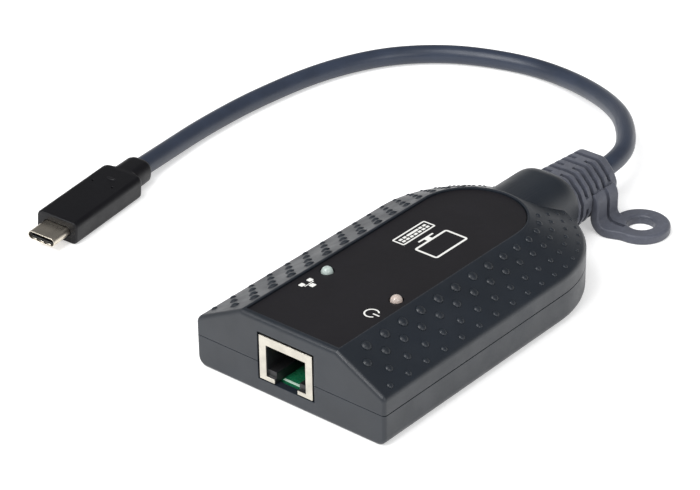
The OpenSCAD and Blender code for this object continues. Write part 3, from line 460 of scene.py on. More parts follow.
def printed_ink(name, colour):
    """Screen-printed ink: opaque, slightly mottled where the mesh laid it down."""
    made, tree, shader, where = start_material(name)
    mottle = pattern(tree, where, 0.25, 4, 0, 1)
    base = coats(tree, shade(colour, 0.86), (mottle, shade(colour)))
    finish_shader(tree, shader, base, pattern(tree, where, 0.25, 4, 0.5, 0.65), mottle, IOR=1.5)
    return made


def material(name, make, *values, **words):
    """The material of that name, made the first time it is asked for."""
    return bpy.data.materials.get(name) or make(name, *values, **words)


def cover_plastic():
    return material("ABS, spark-eroded black", moulded_plastic, tuple(colours().cover))


def boot_elastomer():
    return material("TPE moulding, slate grey", elastomer, tuple(colours().boot))


def dark_moulding():
    return material("PBT moulding, black", moulded_plastic, linear("#17181a"), rough=(0.4, 0.5),
                    grain_mm=0.25)


def pale_moulding():
    return material("Nylon moulding, natural", moulded_plastic, linear("#d9d5c6"), wear=1.05, grain_mm=0.3)


def gold_plate():
    return material("Gold-plated bronze strip", sheet_metal, linear("#e0b95c"), rough=(0.15, 0.28),
                    line_mm=0.1)


def tinned_sheet():
    return material("Tinned brass sheet", sheet_metal, tuple(colours().jack), rough=(0.3, 0.44))


def screw_steel():
    return material("Zinc-plated screw steel", sheet_metal, linear("#a7a8ac"), rough=(0.25, 0.4),
                    stretch=(1.0, 1.0, 0.2))


# Mesh tools


def show(name, data):
    """New object in the scene, at the origin."""
    made = bpy.data.objects.new(name, data)
    bpy.context.scene.collection.objects.link(made)
    return made


@contextmanager
def editing(mesh):
    """The mesh's corners, edges and faces for a change, written back after it."""
    work = bmesh.new()
    work.from_mesh(mesh)
    yield work
    work.to_mesh(mesh)
    work.free()


def tidy_mesh(mesh, gap=1e-6):
    """Merges doubles and turns the faces outwards."""
    with editing(mesh) as work:
        bmesh.ops.remove_doubles(work, verts=work.verts, dist=gap)
        bmesh.ops.dissolve_degenerate(work, edges=work.edges, dist=gap)
        bmesh.ops.recalc_face_normals(work, faces=work.faces)


def put(name, points, faces):
    """Closed body from points in millimetres."""
    mesh = bpy.data.meshes.new(name)
    mesh.from_pydata([[c * MM for c in p] for p in points], [], faces)
    tidy_mesh(mesh)
    return show(name, mesh)


def circle(sides):
    """Corners of a round outline of radius 1."""
    return [(math.cos(2 * math.pi * k / sides), math.sin(2 * math.pi * k / sides)) for k in range(sides)]


def loft(name, rings, endless=False):
    """Skin over closed rings of equal count; its ends are capped unless it runs back into itself."""
    count = len(rings[0])
    points = [p for ring in rings for p in ring]
    faces = []
    for i in range(len(rings) if endless else len(rings) - 1):
        a, b = i * count, (i + 1) % len(rings) * count
        for k in range(count):
            j = (k + 1) % count
            faces.append([a + k, a + j, b + j, b + k])
    if not endless:
        faces.append(list(range(count)))
        faces.append([(len(rings) - 1) * count + k for k in range(count)])
    return put(name, points, faces)


def block(name, low, high):
    """Box between two corners, for cutting."""
    corners = ((low[0], low[1]), (high[0], low[1]), (high[0], high[1]), (low[0], high[1]))
    return loft(name, [[(x, y, z) for x, y in corners] for z in (low[2], high[2])])


def bar(name, centre, radius, axis, start, stop, sides=48, stop_radius=None):
    """Round bar along Y or Z between two places, for joining and cutting."""
    rings = []
    for place, r in ((start, radius), (stop, radius if stop_radius is None else stop_radius)):
        ends = [(centre[0] + r * c, centre[1] + r * s) for c, s in circle(sides)]
        rings.append([(u, v, place) if axis == "Z" else (u, place, v) for u, v in ends])
    return loft(name, rings)


def several(name, *parts):
    """One object out of several that don't touch."""
    work = bmesh.new()
    for part in parts:
        work.from_mesh(part.data)
        remove(part)
    mesh = bpy.data.meshes.new(name)
    work.to_mesh(mesh)
    work.free()
    return show(name, mesh)


def bars(name, places, radius, low, high, sides=48, stop_radius=None):
    """Equal upright bars at several places."""
    return several(name, *[bar(name, p, radius, "Z", low, high, sides, stop_radius) for p in places])


def remove(unwanted):
    mesh = unwanted.data
    bpy.data.objects.remove(unwanted)
    if mesh.users == 0:
        bpy.data.meshes.remove(mesh)


def bake(body):
    """Turns a body's modifiers into plain mesh."""
    bpy.context.view_layer.update()
    seen = body.evaluated_get(bpy.context.evaluated_depsgraph_get())
    mesh = bpy.data.meshes.new_from_object(seen)
    body.modifiers.clear()
    old = body.data
    body.data = mesh
    bpy.data.meshes.remove(old)
    mesh.name = body.name


def combine(body, tool, way="DIFFERENCE"):
    """Cuts, joins or keeps the common space of two closed bodies, and takes the tool away."""
    modifier = body.modifiers.new("combine", "BOOLEAN")
    modifier.operation = way
    modifier.solver = "EXACT"
    modifier.object = tool
    bake(body)
    remove(tool)
    if not body.data.polygons:
        raise RuntimeError(f"{body.name} has nothing left after a cut")
    tidy_mesh(body.data)


def rounded(points, radii, steps=6):
    """Open line in a plane, with arcs of the given radii in place of its corners."""
    out = []
    for i, (point, radius) in enumerate(zip(points, radii)):
        here = Vector(point)
        if not radius:
            out.append(tuple(here))
            continue
        before = (Vector(points[i - 1]) - here).normalized()
        after = (Vector(points[(i + 1) % len(points)]) - here).normalized()
        half = before.angle(after) / 2
        if half > math.pi / 2 - 0.01:
            out.extend([tuple(here)] * (steps + 1))
            continue
        centre = here + (before + after).normalized() * radius / math.sin(half)
        first = here + before * radius / math.tan(half) - centre
        turn = math.pi - 2 * half
        if before.x * after.y - before.y * after.x > 0:
            turn = -turn
        for k in range(steps + 1):
            a = turn * k / steps
            out.append((
                centre.x + first.x * math.cos(a) - first.y * math.sin(a),
                centre.y + first.x * math.sin(a) + first.y * math.cos(a),
            ))
    return out


def soften(body, width_mm=None, angle=40, pick=None, steps=2, sharp=30):
    """Bevels the sharp edges that pick allows, smooths the rest and evens its normals."""
    if width_mm:
        with editing(body.data) as work:
            weight = work.edges.layers.float.new("bevel_weight_edge")
            for edge in work.edges:
                if len(edge.link_faces) == 2 and edge.calc_face_angle(0) > math.radians(angle):
                    middle = (edge.verts[0].co + edge.verts[1].co) / 2 / MM
                    edge[weight] = 1.0 if pick is None or pick(middle) else 0.0
        bevel = body.modifiers.new("edges", "BEVEL")
        bevel.limit_method = "WEIGHT"
        bevel.width = width_mm * MM
        bevel.segments = steps
        bevel.use_clamp_overlap = False
        bake(body)
        tidy_mesh(body.data, 2e-7)
    body.data.shade_smooth()
    body.data.set_sharp_from_angle(angle=math.radians(sharp))
    even = body.modifiers.new("normals", "WEIGHTED_NORMAL")
    even.keep_sharp = True
    bake(body)


def refined(name, node, width_mm, angle=40, steps=2):
    """Copy of a solid's own mesh with its small edges rounded."""
    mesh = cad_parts[node].data.copy()
    mesh.name = name
    mesh.materials.clear()
    tidy_mesh(mesh, 2e-6)
    with editing(mesh) as work:
        bmesh.ops.dissolve_limit(work, angle_limit=math.radians(0.5), verts=work.verts, edges=work.edges)
    made = show(name, mesh)
    soften(made, width_mm, angle, None, steps)
    return made


def dress(made, finish, nodes=(), body="adapter"):
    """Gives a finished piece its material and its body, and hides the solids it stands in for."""
    made.data.materials.clear()
    made.data.materials.append(finish)
    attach(made, body)
    if nodes:
        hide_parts(*nodes)
    return made


def paint(node, finish):
    """Better material on a solid that stays as it is."""
    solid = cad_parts[node]
    for place in solid.material_slots:
        place.link = "OBJECT"
        place.material = finish


# Shapes of the housing


def inset(radius, depth):
    """How far an outline draws in at that depth behind a rounded front."""
    if depth >= radius:
        return 0.0
    return radius - math.sqrt(radius * radius - (radius - depth) ** 2)


def housing_solid(name, profile, front, depths=(0.0,), end_steps=56):
    """Half profile carried along both sides and round the end; profile(depth) runs top to bottom."""
    rows = [[(u, front + d, z) for u, z in profile(d)] for d in depths]
    section = profile(1000.0)
    for i in range(end_steps + 1):
        a = math.pi * i / end_steps
        rows.append([(u * math.cos(a), ROUND_Y + u * math.sin(a), z) for u, z in section])
    rows.extend([(-u, front + d, z) for u, z in profile(d)] for d in reversed(depths))
    count = len(section)
    faces = []
    for i in range(len(rows) - 1):
        for k in range(count - 1):
            a, b = i * count + k, (i + 1) * count + k
            faces.append([a, a + 1, b + 1, b])
    last = (len(rows) - 1) * count
    faces.append(list(range(count)) + [last + k for k in reversed(range(count))])
    return put(name, [p for row in rows for p in row], faces)


def flat_profile(half, top, low, radius=0.0):
    """Plain slab section, with its upper outer edge rounded."""
    def at(depth):
        draw = inset(radius, depth) if radius else 0.0
        corners = [(0, top - draw), (half - draw, top - draw), (half - draw, low), (0, low)]
        return rounded(corners, [0, radius * 0.9 if radius else 0, 0, 0], 4)
    return at


def cover_profile(depth):
    side = inset(sizes().corner_round / MM, depth)
    top = inset(sizes().front_round / MM, depth)
    corners = [
        (0, TOP_Z - top),
        (PANEL_HALF - top * (SLOPE_RUN - 1) / SLOPE, TOP_Z - top),
        (HALF_W - side, RIDGE_Z + SLOPE * side - top * SLOPE_RUN),
        (HALF_W - side, COVER_Z),
        (0, COVER_Z),
    ]
    ridge = max(0.3, sizes().ridge_round / MM - top)
    return rounded(corners, [0, 0.5, ridge, 0.1, 0], 8)


def cover_hollow(depth):
    reach = HALF_W - (TOP_Z - RIDGE_Z + WALL * (SLOPE_RUN - 1)) / SLOPE
    ridge = RIDGE_Z - WALL * (SLOPE_RUN - SLOPE)
    side = HALF_W - WALL
    return [(0, TOP_Z - WALL), (reach, TOP_Z - WALL), (side, ridge), (side, JOINT_LOW), (0, JOINT_LOW)]


def base_profile(depth):
    side = inset(sizes().corner_round / MM, depth)
    low = inset(1.0, depth)
    corners = [(0, SEAM_Z), (HALF_W - side, SEAM_Z), (HALF_W - side, low), (0, low)]
    return rounded(corners, [0, 0.1, max(0.6, sizes().base_round / MM - low), 0], 8)


def arch_ring(y, wall, floor):
    """Section of the neck: a full arch as high as the top face, rounded down to the boot at its end."""
    late = max(0.0, (y - NECK_END + NECK_ROUND) / NECK_ROUND)
    fall = 1 - math.sqrt(max(0.0, 1 - late * late))
    tall = NECK_TOP - (NECK_TOP - NECK_ROOT_TOP) * fall - wall - COVER_Z
    wide = NECK_HALF - 0.5 * fall - wall
    ring = [(wide, y, floor)]
    for k in range(41):
        c, d = math.cos(math.pi * k / 40), math.sin(math.pi * k / 40)
        x = math.copysign(wide * abs(c) ** NECK_POWER, c)
        ring.append((x, y, COVER_Z + 0.02 + tall * abs(d) ** NECK_POWER))
    ring.append((-wide, y, floor))
    return ring


def jack_opening(name):
    reach = JACK_W / 2 + JACK_GAP
    return block(name, (JACK_X - reach, FRONT_Y - 1, JACK_Z - JACK_GAP / 2),
                 (JACK_X + reach, FRONT_Y + WALL + 1, JACK_Z + JACK_H + JACK_GAP))


def throat(name):
    return bar(name, (0, BOOT_Z), NECK_BORE, "Y", NECK_END - 3.0, NECK_END + 1)


def lamp_holes(name):
    return bars(name, [(side * LAMP_X, LAMP_Y) for side in (-1, 1)], *LAMP_HOLE)


def round_jack(p):
    """Whether a point of the front face lies by the jack's opening."""
    return p.y < FRONT_Y + 0.05 and abs(p.x - JACK_X) < JACK_W / 2 + 1


def make_cover():
    """Upper cover: sloping shoulders, recessed top face, arched neck, and open below."""
    cover = housing_solid("cover_upper", cover_profile, FRONT_Y, FRONT_STEPS)
    ends = [NECK_START] + [NECK_END - NECK_ROUND * (1 - math.sin(math.pi / 2 * k / 12)) for k in range(13)]
    combine(cover, loft("neck", [arch_ring(y, 0.0, COVER_Z) for y in ends]), "UNION")
    combine(cover, housing_solid("hollow", cover_hollow, FRONT_Y + WALL))
    rebate = flat_profile(HALF_W - WALL / 2, LIP_TOP, JOINT_LOW)
    combine(cover, housing_solid("rebate", rebate, FRONT_Y + WALL / 2))
    passage = [arch_ring(y, NECK_WALL, JOINT_LOW)
               for y in (NECK_START - 2, NECK_END - NECK_ROUND, NECK_END - NECK_WALL)]
    combine(cover, loft("passage", passage))
    recess = flat_profile(RECESS_HALF, TOP_Z + 1, RECESS_Z)
    combine(cover, housing_solid("recess", recess, FRONT_Y + PANEL_FRONT))
    combine(cover, throat("throat"))
    combine(cover, jack_opening("jack_opening"))
    combine(cover, lamp_holes("lamp_holes"))
    combine(cover, bars("posts", SCREWS, *COVER_POST), "UNION")
    combine(cover, bars("pilots", SCREWS, *COVER_PILOT, 32))

    def pick(p):
        return (round_jack(p) and COVER_Z + 0.1 < p.z < JACK_Z + JACK_H + 1) or p.z > TOP_Z - 0.02

    soften(cover, sizes().edge_break / MM, 40, pick, 2)
    return dress(cover, cover_plastic(), ["top_cover"])


def make_base():
    """Lower cover: rounded underside, screw wells, board posts and the lip inside the joint."""
    base = housing_solid("cover_lower", base_profile, FRONT_Y, FRONT_STEPS)
    neck = []
    for y in (NECK_START, NECK_END - 0.6, NECK_END - 0.3, NECK_END - 0.1, NECK_END):
        draw = inset(0.6, NECK_END - y)
        half = [(0, SEAM_Z), (NECK_R - draw, SEAM_Z), (NECK_R - draw, draw), (0, draw)]
        half = rounded(half, [0, 0.12, NECK_LOW_ROUND - draw, 0], 8)
        neck.append([(u, y, z) for u, z in half[1:-1]] + [(-u, y, z) for u, z in reversed(half[1:-1])])
    combine(base, loft("neck", neck), "UNION")
    lip = flat_profile(LIP_HALF, LIP_TOP, LIP_LOW)
    combine(base, housing_solid("lip", lip, FRONT_Y + HALF_W - LIP_HALF), "UNION")
    combine(base, housing_solid("hollow", flat_profile(HALF_W - WALL, 20, FLOOR_Z), FRONT_Y + WALL))
    inner = NECK_R - NECK_WALL
    combine(base, block("passage", (-inner, NECK_START - 2, FLOOR_Z), (inner, NECK_END - NECK_WALL, 20)))
    combine(base, throat("throat"))
    combine(base, jack_opening("jack_opening"))
    combine(base, bars("posts", SCREWS, *BASE_POST), "UNION")
    combine(base, bars("rests", POSTS, *BOARD_REST, 32), "UNION")
    combine(base, bars("wells", SCREWS, *SCREW_WELL))
    combine(base, bars("holes", SCREWS, *SCREW_HOLE, 32))
    combine(base, bars("mouths", SCREWS, *WELL_MOUTH, stop_radius=SCREW_WELL[0]))
    soften(base, sizes().edge_break / MM, 40, lambda p: round_jack(p) and 2 < p.z < SEAM_Z - 0.1, 2)
    return dress(base, cover_plastic(), ["base_cover"])


class ADAPTER_OT_covers(bpy.types.Operator):
    """Both covers of the housing"""

    bl_idname = "adapter.covers"
    bl_label = "Covers"

    def execute(self, context):
        make_cover()
        make_base()
        return {"FINISHED"}


def bump_tree(names):
    """Rows of round caps down both slopes and round the end, closer together towards the neck."""
    tree = bpy.data.node_groups.new("Grip bump rows", "GeometryNodeTree")
    face = tree.interface
    for name in names:
        face.new_socket(name, in_out="INPUT", socket_type="NodeSocketFloat")
    face.new_socket("Finish", in_out="INPUT", socket_type="NodeSocketMaterial")
    face.new_socket("Geometry", in_out="OUTPUT", socket_type="NodeSocketGeometry")
    known = {socket.name: socket for socket in add(tree, "NodeGroupInput").outputs}
    known["index"] = add(tree, "GeometryNodeInputIndex")

    def numbered(values, first=0):
        """Inputs counted up from the first, each a number or the name of something known."""
        return {i: known[v] if isinstance(v, str) else v for i, v in enumerate(values, first)}

    def work_out(*steps):
        """Adds steps of arithmetic, and makes the result of each known by its name."""
        for name, how, *values in steps:
            known[name] = add(tree, "ShaderNodeMath", numbered(values), operation=how)

    # Bumps count through the four rows, then the two sides, then along the row
    work_out(
        ("row", "MODULO", "index", 4.0), ("fours", "DIVIDE", "index", 4.0), ("pair", "FLOOR", "fours"),
        ("side", "MODULO", "pair", 2.0), ("eights", "DIVIDE", "index", 8.0), ("number", "FLOOR", "eights"),
        ("one row", "MODULO", "index", 8.0),
    )
    by_row = {"offset": BUMP_OFFSETS, "size share": BUMP_SIZE_SHARES,
              "row x": [f"Row place {i}" for i in (1, 2, 3, 4)]}
    for name, values in by_row.items():
        known[name] = add(tree, "GeometryNodeIndexSwitch", {"Index": known["row"]}, data_type="FLOAT")
        while len(known[name].index_switch_items) < len(values):
            known[name].index_switch_items.new()
        feed(tree, known[name], numbered(values, 1))

    # Steps are even at first and get shorter in the round end; their sum places each bump
    work_out(
        ("counted", "ADD", "number", "offset"), ("past", "SUBTRACT", "counted", "Even steps"),
        ("late", "MAXIMUM", "past", 0.0), ("lost", "MULTIPLY", "late", "Fade"),
        ("faded", "SUBTRACT", "Pitch", "lost"), ("step", "MAXIMUM", "faded", "Least step"),
    )
    summed = {"Group ID": known["one row"], "Value": known["step"]}
    total = add(tree, "GeometryNodeAccumulateField", summed, data_type="FLOAT", domain="POINT")
    known["sum"] = total.outputs["Leading"]
    work_out(
        ("travel", "SUBTRACT", "sum", "Pitch"), ("shift", "MULTIPLY", "Pitch", "offset"),
        ("first", "ADD", "First bump", "shift"), ("reached", "ADD", "first", "travel"),
        ("along", "SUBTRACT", "reached", "Round end"), ("bent", "MAXIMUM", "along", 0.0),
        ("angle", "DIVIDE", "bent", "row x"), ("twice", "MULTIPLY", "side", 2.0),
        ("mirror", "SUBTRACT", 1.0, "twice"), ("opposite", "MULTIPLY", "side", math.pi),
        ("swing", "MULTIPLY", "mirror", "angle"), ("turn", "ADD", "opposite", "swing"),
    )
    # The place on the slope
    work_out(
        ("cosine", "COSINE", "turn"), ("x", "MULTIPLY", "row x", "cosine"), ("sine", "SINE", "turn"),
        ("straight", "MINIMUM", "along", 0.0), ("level", "ADD", "Round end", "straight"),
        ("beside", "MULTIPLY", "row x", "sine"), ("y", "ADD", "level", "beside"),
        ("down", "SUBTRACT", "row x", "Top half width"), ("drop", "MULTIPLY", "down", "Slope rate"),
        ("z", "SUBTRACT", "Top height", "drop"),
    )
    # The size, and which bumps would stand on the neck
    work_out(
        ("share", "DIVIDE", "step", "Pitch"), ("more", "SUBTRACT", "Large bump", "Small bump"),
        ("extra", "MULTIPLY", "more", "size share"), ("full", "ADD", "Small bump", "extra"),
        ("wide", "MULTIPLY", "share", "full"), ("half", "DIVIDE", "wide", 2.0),
        ("scale", "DIVIDE", "wide", "Large bump"), ("tall", "MULTIPLY", "Bump height", "scale"),
        ("clear", "DIVIDE", "Neck clearance", "row x"), ("limit", "ARCCOSINE", "clear"),
        ("beyond", "GREATER_THAN", "angle", "limit"),
    )

    # Every value is kept on the same points, before any of them is dropped
    points = add(tree, "GeometryNodePoints", {"Count": BUMPS_COUNT})
    vector = {"data_type": "FLOAT_VECTOR"}
    kept = {}
    wanted = {"place": ("x", "y", "z"), "turned": (0.0, math.atan(SLOPE), "turn"),
              "grown": ("half", "half", "tall")}
    for name, axes in wanted.items():
        value = add(tree, "ShaderNodeCombineXYZ", numbered(axes))
        store = {"Geometry": points, "Name": name, "Value": value}
        points = add(tree, "GeometryNodeStoreNamedAttribute", store, domain="POINT", **vector)
        kept[name] = add(tree, "GeometryNodeInputNamedAttribute", {"Name": name}, **vector)
    dropped = {"Geometry": points, "Selection": known["beyond"]}
    points = add(tree, "GeometryNodeDeleteGeometry", dropped, domain="POINT")
    points = add(tree, "GeometryNodeSetPosition", {"Geometry": points, "Position": kept["place"]})

    # One cap: a cone of rings, lifted to a dome whose edge lies below the surface
    cone = {"Vertices": 18, "Side Segments": 5, "Fill Segments": 1, "Radius Top": 0.0, "Radius Bottom": 1.0,
            "Depth": 1.0}
    cap = add(tree, "GeometryNodeMeshCone", cone, fill_type="NGON")
    spot = add(tree, "ShaderNodeSeparateXYZ", {0: add(tree, "GeometryNodeInputPosition")}).outputs
    known.update({"cap x": spot[0], "cap y": spot[1]})
    work_out(
        ("xx", "MULTIPLY", "cap x", "cap x"), ("yy", "MULTIPLY", "cap y", "cap y"),
        ("square", "ADD", "xx", "yy"), ("left", "SUBTRACT", 1.0, "square"),
        ("inside", "MAXIMUM", "left", 0.0), ("dome", "POWER", "inside", 0.85),
        ("raised", "MULTIPLY", "dome", 1.06), ("lifted", "SUBTRACT", "raised", 0.06),
    )
    domed = add(tree, "ShaderNodeCombineXYZ", numbered(("cap x", "cap y", "lifted")))
    cap = add(tree, "GeometryNodeSetPosition", {"Geometry": cap, "Position": domed})
    cap = add(tree, "GeometryNodeSetShadeSmooth", {0: cap, "Shade Smooth": True})

    spin = add(tree, "FunctionNodeEulerToRotation", {0: kept["turned"]})
    copies = {"Points": points, "Instance": cap, "Rotation": spin, "Scale": kept["grown"]}
    made = add(tree, "GeometryNodeInstanceOnPoints", copies)
    made = add(tree, "GeometryNodeRealizeInstances", {0: made})
    for name in kept:
        made = add(tree, "GeometryNodeRemoveAttribute", {"Geometry": made, "Name": name})
    made = add(tree, "GeometryNodeSetMaterial", {"Geometry": made, "Material": known["Finish"]})
    add(tree, "NodeGroupOutput", {"Geometry": made})
    return tree


def grown_by(tree, name, values):
    """Plain mesh that a node tree makes with the given named inputs."""
    made = show(name, bpy.data.meshes.new(name))
    modifier = made.modifiers.new("grow", "NODES")
    modifier.node_group = tree
    for socket in tree.interface.items_tree:
        if socket.in_out == "INPUT" and socket.name in values:
            modifier[socket.identifier] = values[socket.name]
    bake(made)
    if not made.data.polygons:
        raise RuntimeError(f"{name} came out empty")
    return made


class ADAPTER_OT_grip_bumps(bpy.types.Operator):
    """Rows of grip bumps on the slopes"""

    bl_idname = "adapter.grip_bumps"
    bl_label = "Grip bumps"

    def execute(self, context):
        s = sizes()
        even = BUMP_EVEN_SHARE * (BACK_Y - FRONT_Y) - FIRST_BUMP
        values = {
            "Pitch": s.bump_pitch, "Fade": s.bump_fade, "Least step": s.bump_pitch * BUMP_LEAST_SHARE,
            "Even steps": even * MM / s.bump_pitch, "First bump": (FRONT_Y + FIRST_BUMP) * MM,
            "Round end": ROUND_Y * MM, "Top height": TOP_Z * MM, "Slope rate": SLOPE,
            "Top half width": PANEL_HALF * MM, "Large bump": s.bump_large, "Small bump": s.bump_small,
            "Bump height": s.bump_height, "Neck clearance": (NECK_R + BUMP_NECK_GAP) * MM,
        }
        for i, share in enumerate(BUMP_ROWS, 1):
            values[f"Row place {i}"] = (PANEL_HALF + (HALF_W - PANEL_HALF) * share) * MM
        bumps = grown_by(bump_tree(values), "grip_bumps", {**values, "Finish": cover_plastic()})
        dress(bumps, cover_plastic(), ["top_cover"])
        return {"FINISHED"}


# Top plate and its printed signs


def flat_shape(name, outline, hole=None, z=PLATE_Z):
    """Thin printed shape from an outline in the plate's plane, with a hole of as many points."""
    tall = sizes().print_height / MM
    if hole is None:
        return loft(name, [[(x, y, z + t) for x, y in outline] for t in (-0.05, tall)])
    rings = []
    for line, t in ((outline, -0.05), (outline, tall), (hole, tall), (hole, -0.05)):
        rings.append([(x, y, z + t) for x, y in line])
    return loft(name, rings, endless=True)


def box_outline(x0, y0, x1, y1, r):
    corners = [(x0, y0), (x1, y0), (x1, y1), (x0, y1)]
    return rounded(corners, [r] * 4, 4)


def frame_shape(name, x0, y0, x1, y1, line, r):
    return flat_shape(name, box_outline(x0, y0, x1, y1, r),
                      box_outline(x0 + line, y0 + line, x1 - line, y1 - line, max(r - line, 0.1)))


def arc_band(name, x, y, r, line, start, stop, steps=28):
    outer, inner = [], []
    for k in range(steps + 1):
        a = math.radians(start + (stop - start) * k / steps)
        outer.append((x + r * math.cos(a), y + r * math.sin(a)))
        inner.append((x + (r - line) * math.cos(a), y + (r - line) * math.sin(a)))
    return flat_shape(name, outer + inner[::-1])


def sign_boxes(middle, boxes):
    """Filled boxes of one sign."""
    x, y = middle
    return [flat_shape("sign", box_outline(x + a, y + b, x + c, y + d, r)) for a, b, c, d, r in boxes]


def printed_signs():
    """Plain signs, upright for a reader on the left: linked boxes, on-off, and screen with keys."""
    parts = sign_boxes(LINK_SIGN, LINK_BOXES) + sign_boxes(POWER_SIGN, POWER_BOXES)
    parts.append(arc_band("sign", POWER_SIGN[0] - 0.1, POWER_SIGN[1], 1.9, 0.4, 38, 322))
    parts += sign_boxes(SCREEN_SIGN, SCREEN_BOXES)
    x, y = SCREEN_SIGN
    for a, b, c, d, line, r in SCREEN_FRAMES:
        parts.append(frame_shape("sign", x + a, y + b, x + c, y + d, line, r))
    keys = [(0, key, 1.1) for key in (0, 1, 5, 6)] + [(0, 2, 4.2)] + [(1, key, 1.1) for key in range(7)]
    for row, key, tall in keys:
        a, b = x + KEY_FIRST[0] + row * KEY_STEP[0], y + KEY_FIRST[1] + key * KEY_STEP[1]
        parts.append(flat_shape("sign", box_outline(a - 0.95, b, a - 0.25, b + tall, 0.1)))
    return several("printed_signs", *parts)


class ADAPTER_OT_top_plate(bpy.types.Operator):
    """Satin plate in the top face, with its printed signs"""

    bl_idname = "adapter.top_plate"
    bl_label = "Top plate"

    def execute(self, context):
        profile = flat_profile(PLATE_HALF, PLATE_Z, RECESS_Z, PLATE_ROUND)
        steps = (0.0, 0.03, 0.08, PLATE_ROUND)
        plate = housing_solid("plate", profile, FRONT_Y + PANEL_FRONT + PLATE_GAP, steps)
        combine(plate, lamp_holes("lamp_holes"))
        soften(plate, 0.1, 60, lambda p: p.z > PLATE_Z - 0.01, 2)
        finish = material("Polycarbonate plate, satin", moulded_plastic, tuple(colours().plate),
                          rough=(0.38, 0.48), grain_mm=0.22, depth_mm=0.005, wear=1.25, gloss=0.36)
        dress(plate, finish, ["top_plate"])
        signs = printed_signs()
        dress(signs, material("Screen-printed ink", printed_ink, tuple(colours().print)))
        return {"FINISHED"}


# Jack


class ADAPTER_OT_jack(bpy.types.Operator):
    """Network jack: its folded sheet and its moulded body"""

    bl_idname = "adapter.jack"
    bl_label = "Jack"

    def execute(self, context):
        sheet = refined("jack_sheet", "jack_shield", 0.14, steps=3)
        dress(sheet, tinned_sheet(), ["jack_shield"])
        moulding = refined("jack_moulding", "jack_housing", 0.12)
        dress(moulding, dark_moulding(), ["jack_housing"])
        # The board's bare front edge catches the light below the mouth
        ends = (JACK_X - BOARD_EDGE_HALF, JACK_X + BOARD_EDGE_HALF)
        strip = loft("board_edge_strip", [[(x, y, z) for y, z in BOARD_EDGE] for x in ends])
        soften(strip, 0.04)
        bare = material("Glass-epoxy, bare cut edge", moulded_plastic, linear("#b9d3c4"), rough=(0.4, 0.5),
                        wear=1.1)
        dress(strip, bare)
        return {"FINISHED"}


class ADAPTER_OT_contacts(bpy.types.Operator):
    """Eight spring contacts of the jack, bent from strip"""

    bl_idname = "adapter.contacts"
    bl_label = "Spring contacts"

    def execute(self, context):
        line = rounded(CONTACT_LINE, [0, 0.9, 0.5, 0], 5)
        strips = []
        for i in range(CONTACTS):
            x = JACK_X + (i - (CONTACTS - 1) / 2) * CONTACT_PITCH
            rings = []
            for k, (y, z) in enumerate(line):
                way = (Vector(line[min(k + 1, len(line) - 1)]) - Vector(line[max(k - 1, 0)])).normalized()
                rings.append([(x + w, y - way.y * t, z + way.x * t) for w, t in CONTACT_SECTION])
            strips.append(loft("strip", rings))
        made = several("spring_contacts", *strips)
        soften(made, None, sharp=50)
        dress(made, gold_plate(), ["jack_contacts"], "contacts")
        return {"FINISHED"}


# Lamps


def turned(name, centre, outline, sides=40):
    """Body turned about an upright axis; outline runs from the axis below to the axis above."""
    x, y = centre
    return loft(name, [[(x + r * c, y + r * s, z) for c, s in circle(sides)] for r, z in outline])


class ADAPTER_OT_lamps(bpy.types.Operator):
    """Clear lamps with the metal cup and post that show through them"""

    bl_idname = "adapter.lamps"
    bl_label = "Lamps"

    def execute(self, context):
        r, low, top = LAMP_R, LAMP_BASE_Z, LAMP_TOP_Z
        outline = [(u, low + v) for u, v in LAMP_FLANGE]
        for k in range(12):
            a = math.radians(90 * k / 12)
            outline.append((r * math.cos(a), top - r + r * math.sin(a)))
        outline.append((0.02, top))
        cup = [(u, low + v) for u, v in LAMP_CUP]
        silver = material("Silvered lead frame", sheet_metal, linear("#dcdcda"), rough=(0.12, 0.25))
        for side, name, node, resin, tint in LAMPS:
            x = side * LAMP_X
            lens = turned(name, (x, LAMP_Y), outline)
            soften(lens, None, sharp=40)
            dress(lens, material(resin, lamp_resin, linear(tint)), [node])
            inner = turned("cup", (x, LAMP_Y), cup, 24)
            post = block("post", (x + 0.95, LAMP_Y - 0.2, low + 0.3), (x + 1.25, LAMP_Y + 0.2, low + 3.1))
            wings = several(name + "_cup", inner, post)
            soften(wings, None, sharp=35)
            dress(wings, silver)
        return {"FINISHED"}


# Boot and lug


def boot_ring(y, draw=0.0):
    """Section of the boot at that place, drawn in all round."""
    share = (y - NECK_END) / (BOOT_END - NECK_END)
    wide, tall = (root + (tip - root) * share - draw for root, tip in zip(BOOT_ROOT, BOOT_TIP))
    right = [(u * wide, v * tall) for u, v in BOOT_OUTLINE]
    closed = right + [(-u, v) for u, v in right[-2:0:-1]]
    soft = rounded(closed, [0 if abs(p[0]) < 0.01 else 2.4 if p[1] > 0 else 1.8 for p in closed], 5)
    return [(u, y, BOOT_Z + v) for u, v in soft]


def boot_body(name, draw=0.0):
    if draw:
        return loft(name, [boot_ring(y, draw) for y in (NECK_END - 0.5, BOOT_END + 0.5)])
    ends = [(NECK_END, 0.5), (NECK_END + 0.15, 0.2), (NECK_END + 0.5, 0.0)]
    ends += [(NECK_END + 0.5 + (BOOT_END - 1.3 - NECK_END) * k / 6, 0.0) for k in range(1, 7)]
    ends += [(BOOT_END - 0.55, 0.08), (BOOT_END - 0.25, 0.3), (BOOT_END - 0.07, 0.6), (BOOT_END, 1.0)]
    return loft(name, [boot_ring(y, d) for y, d in ends])


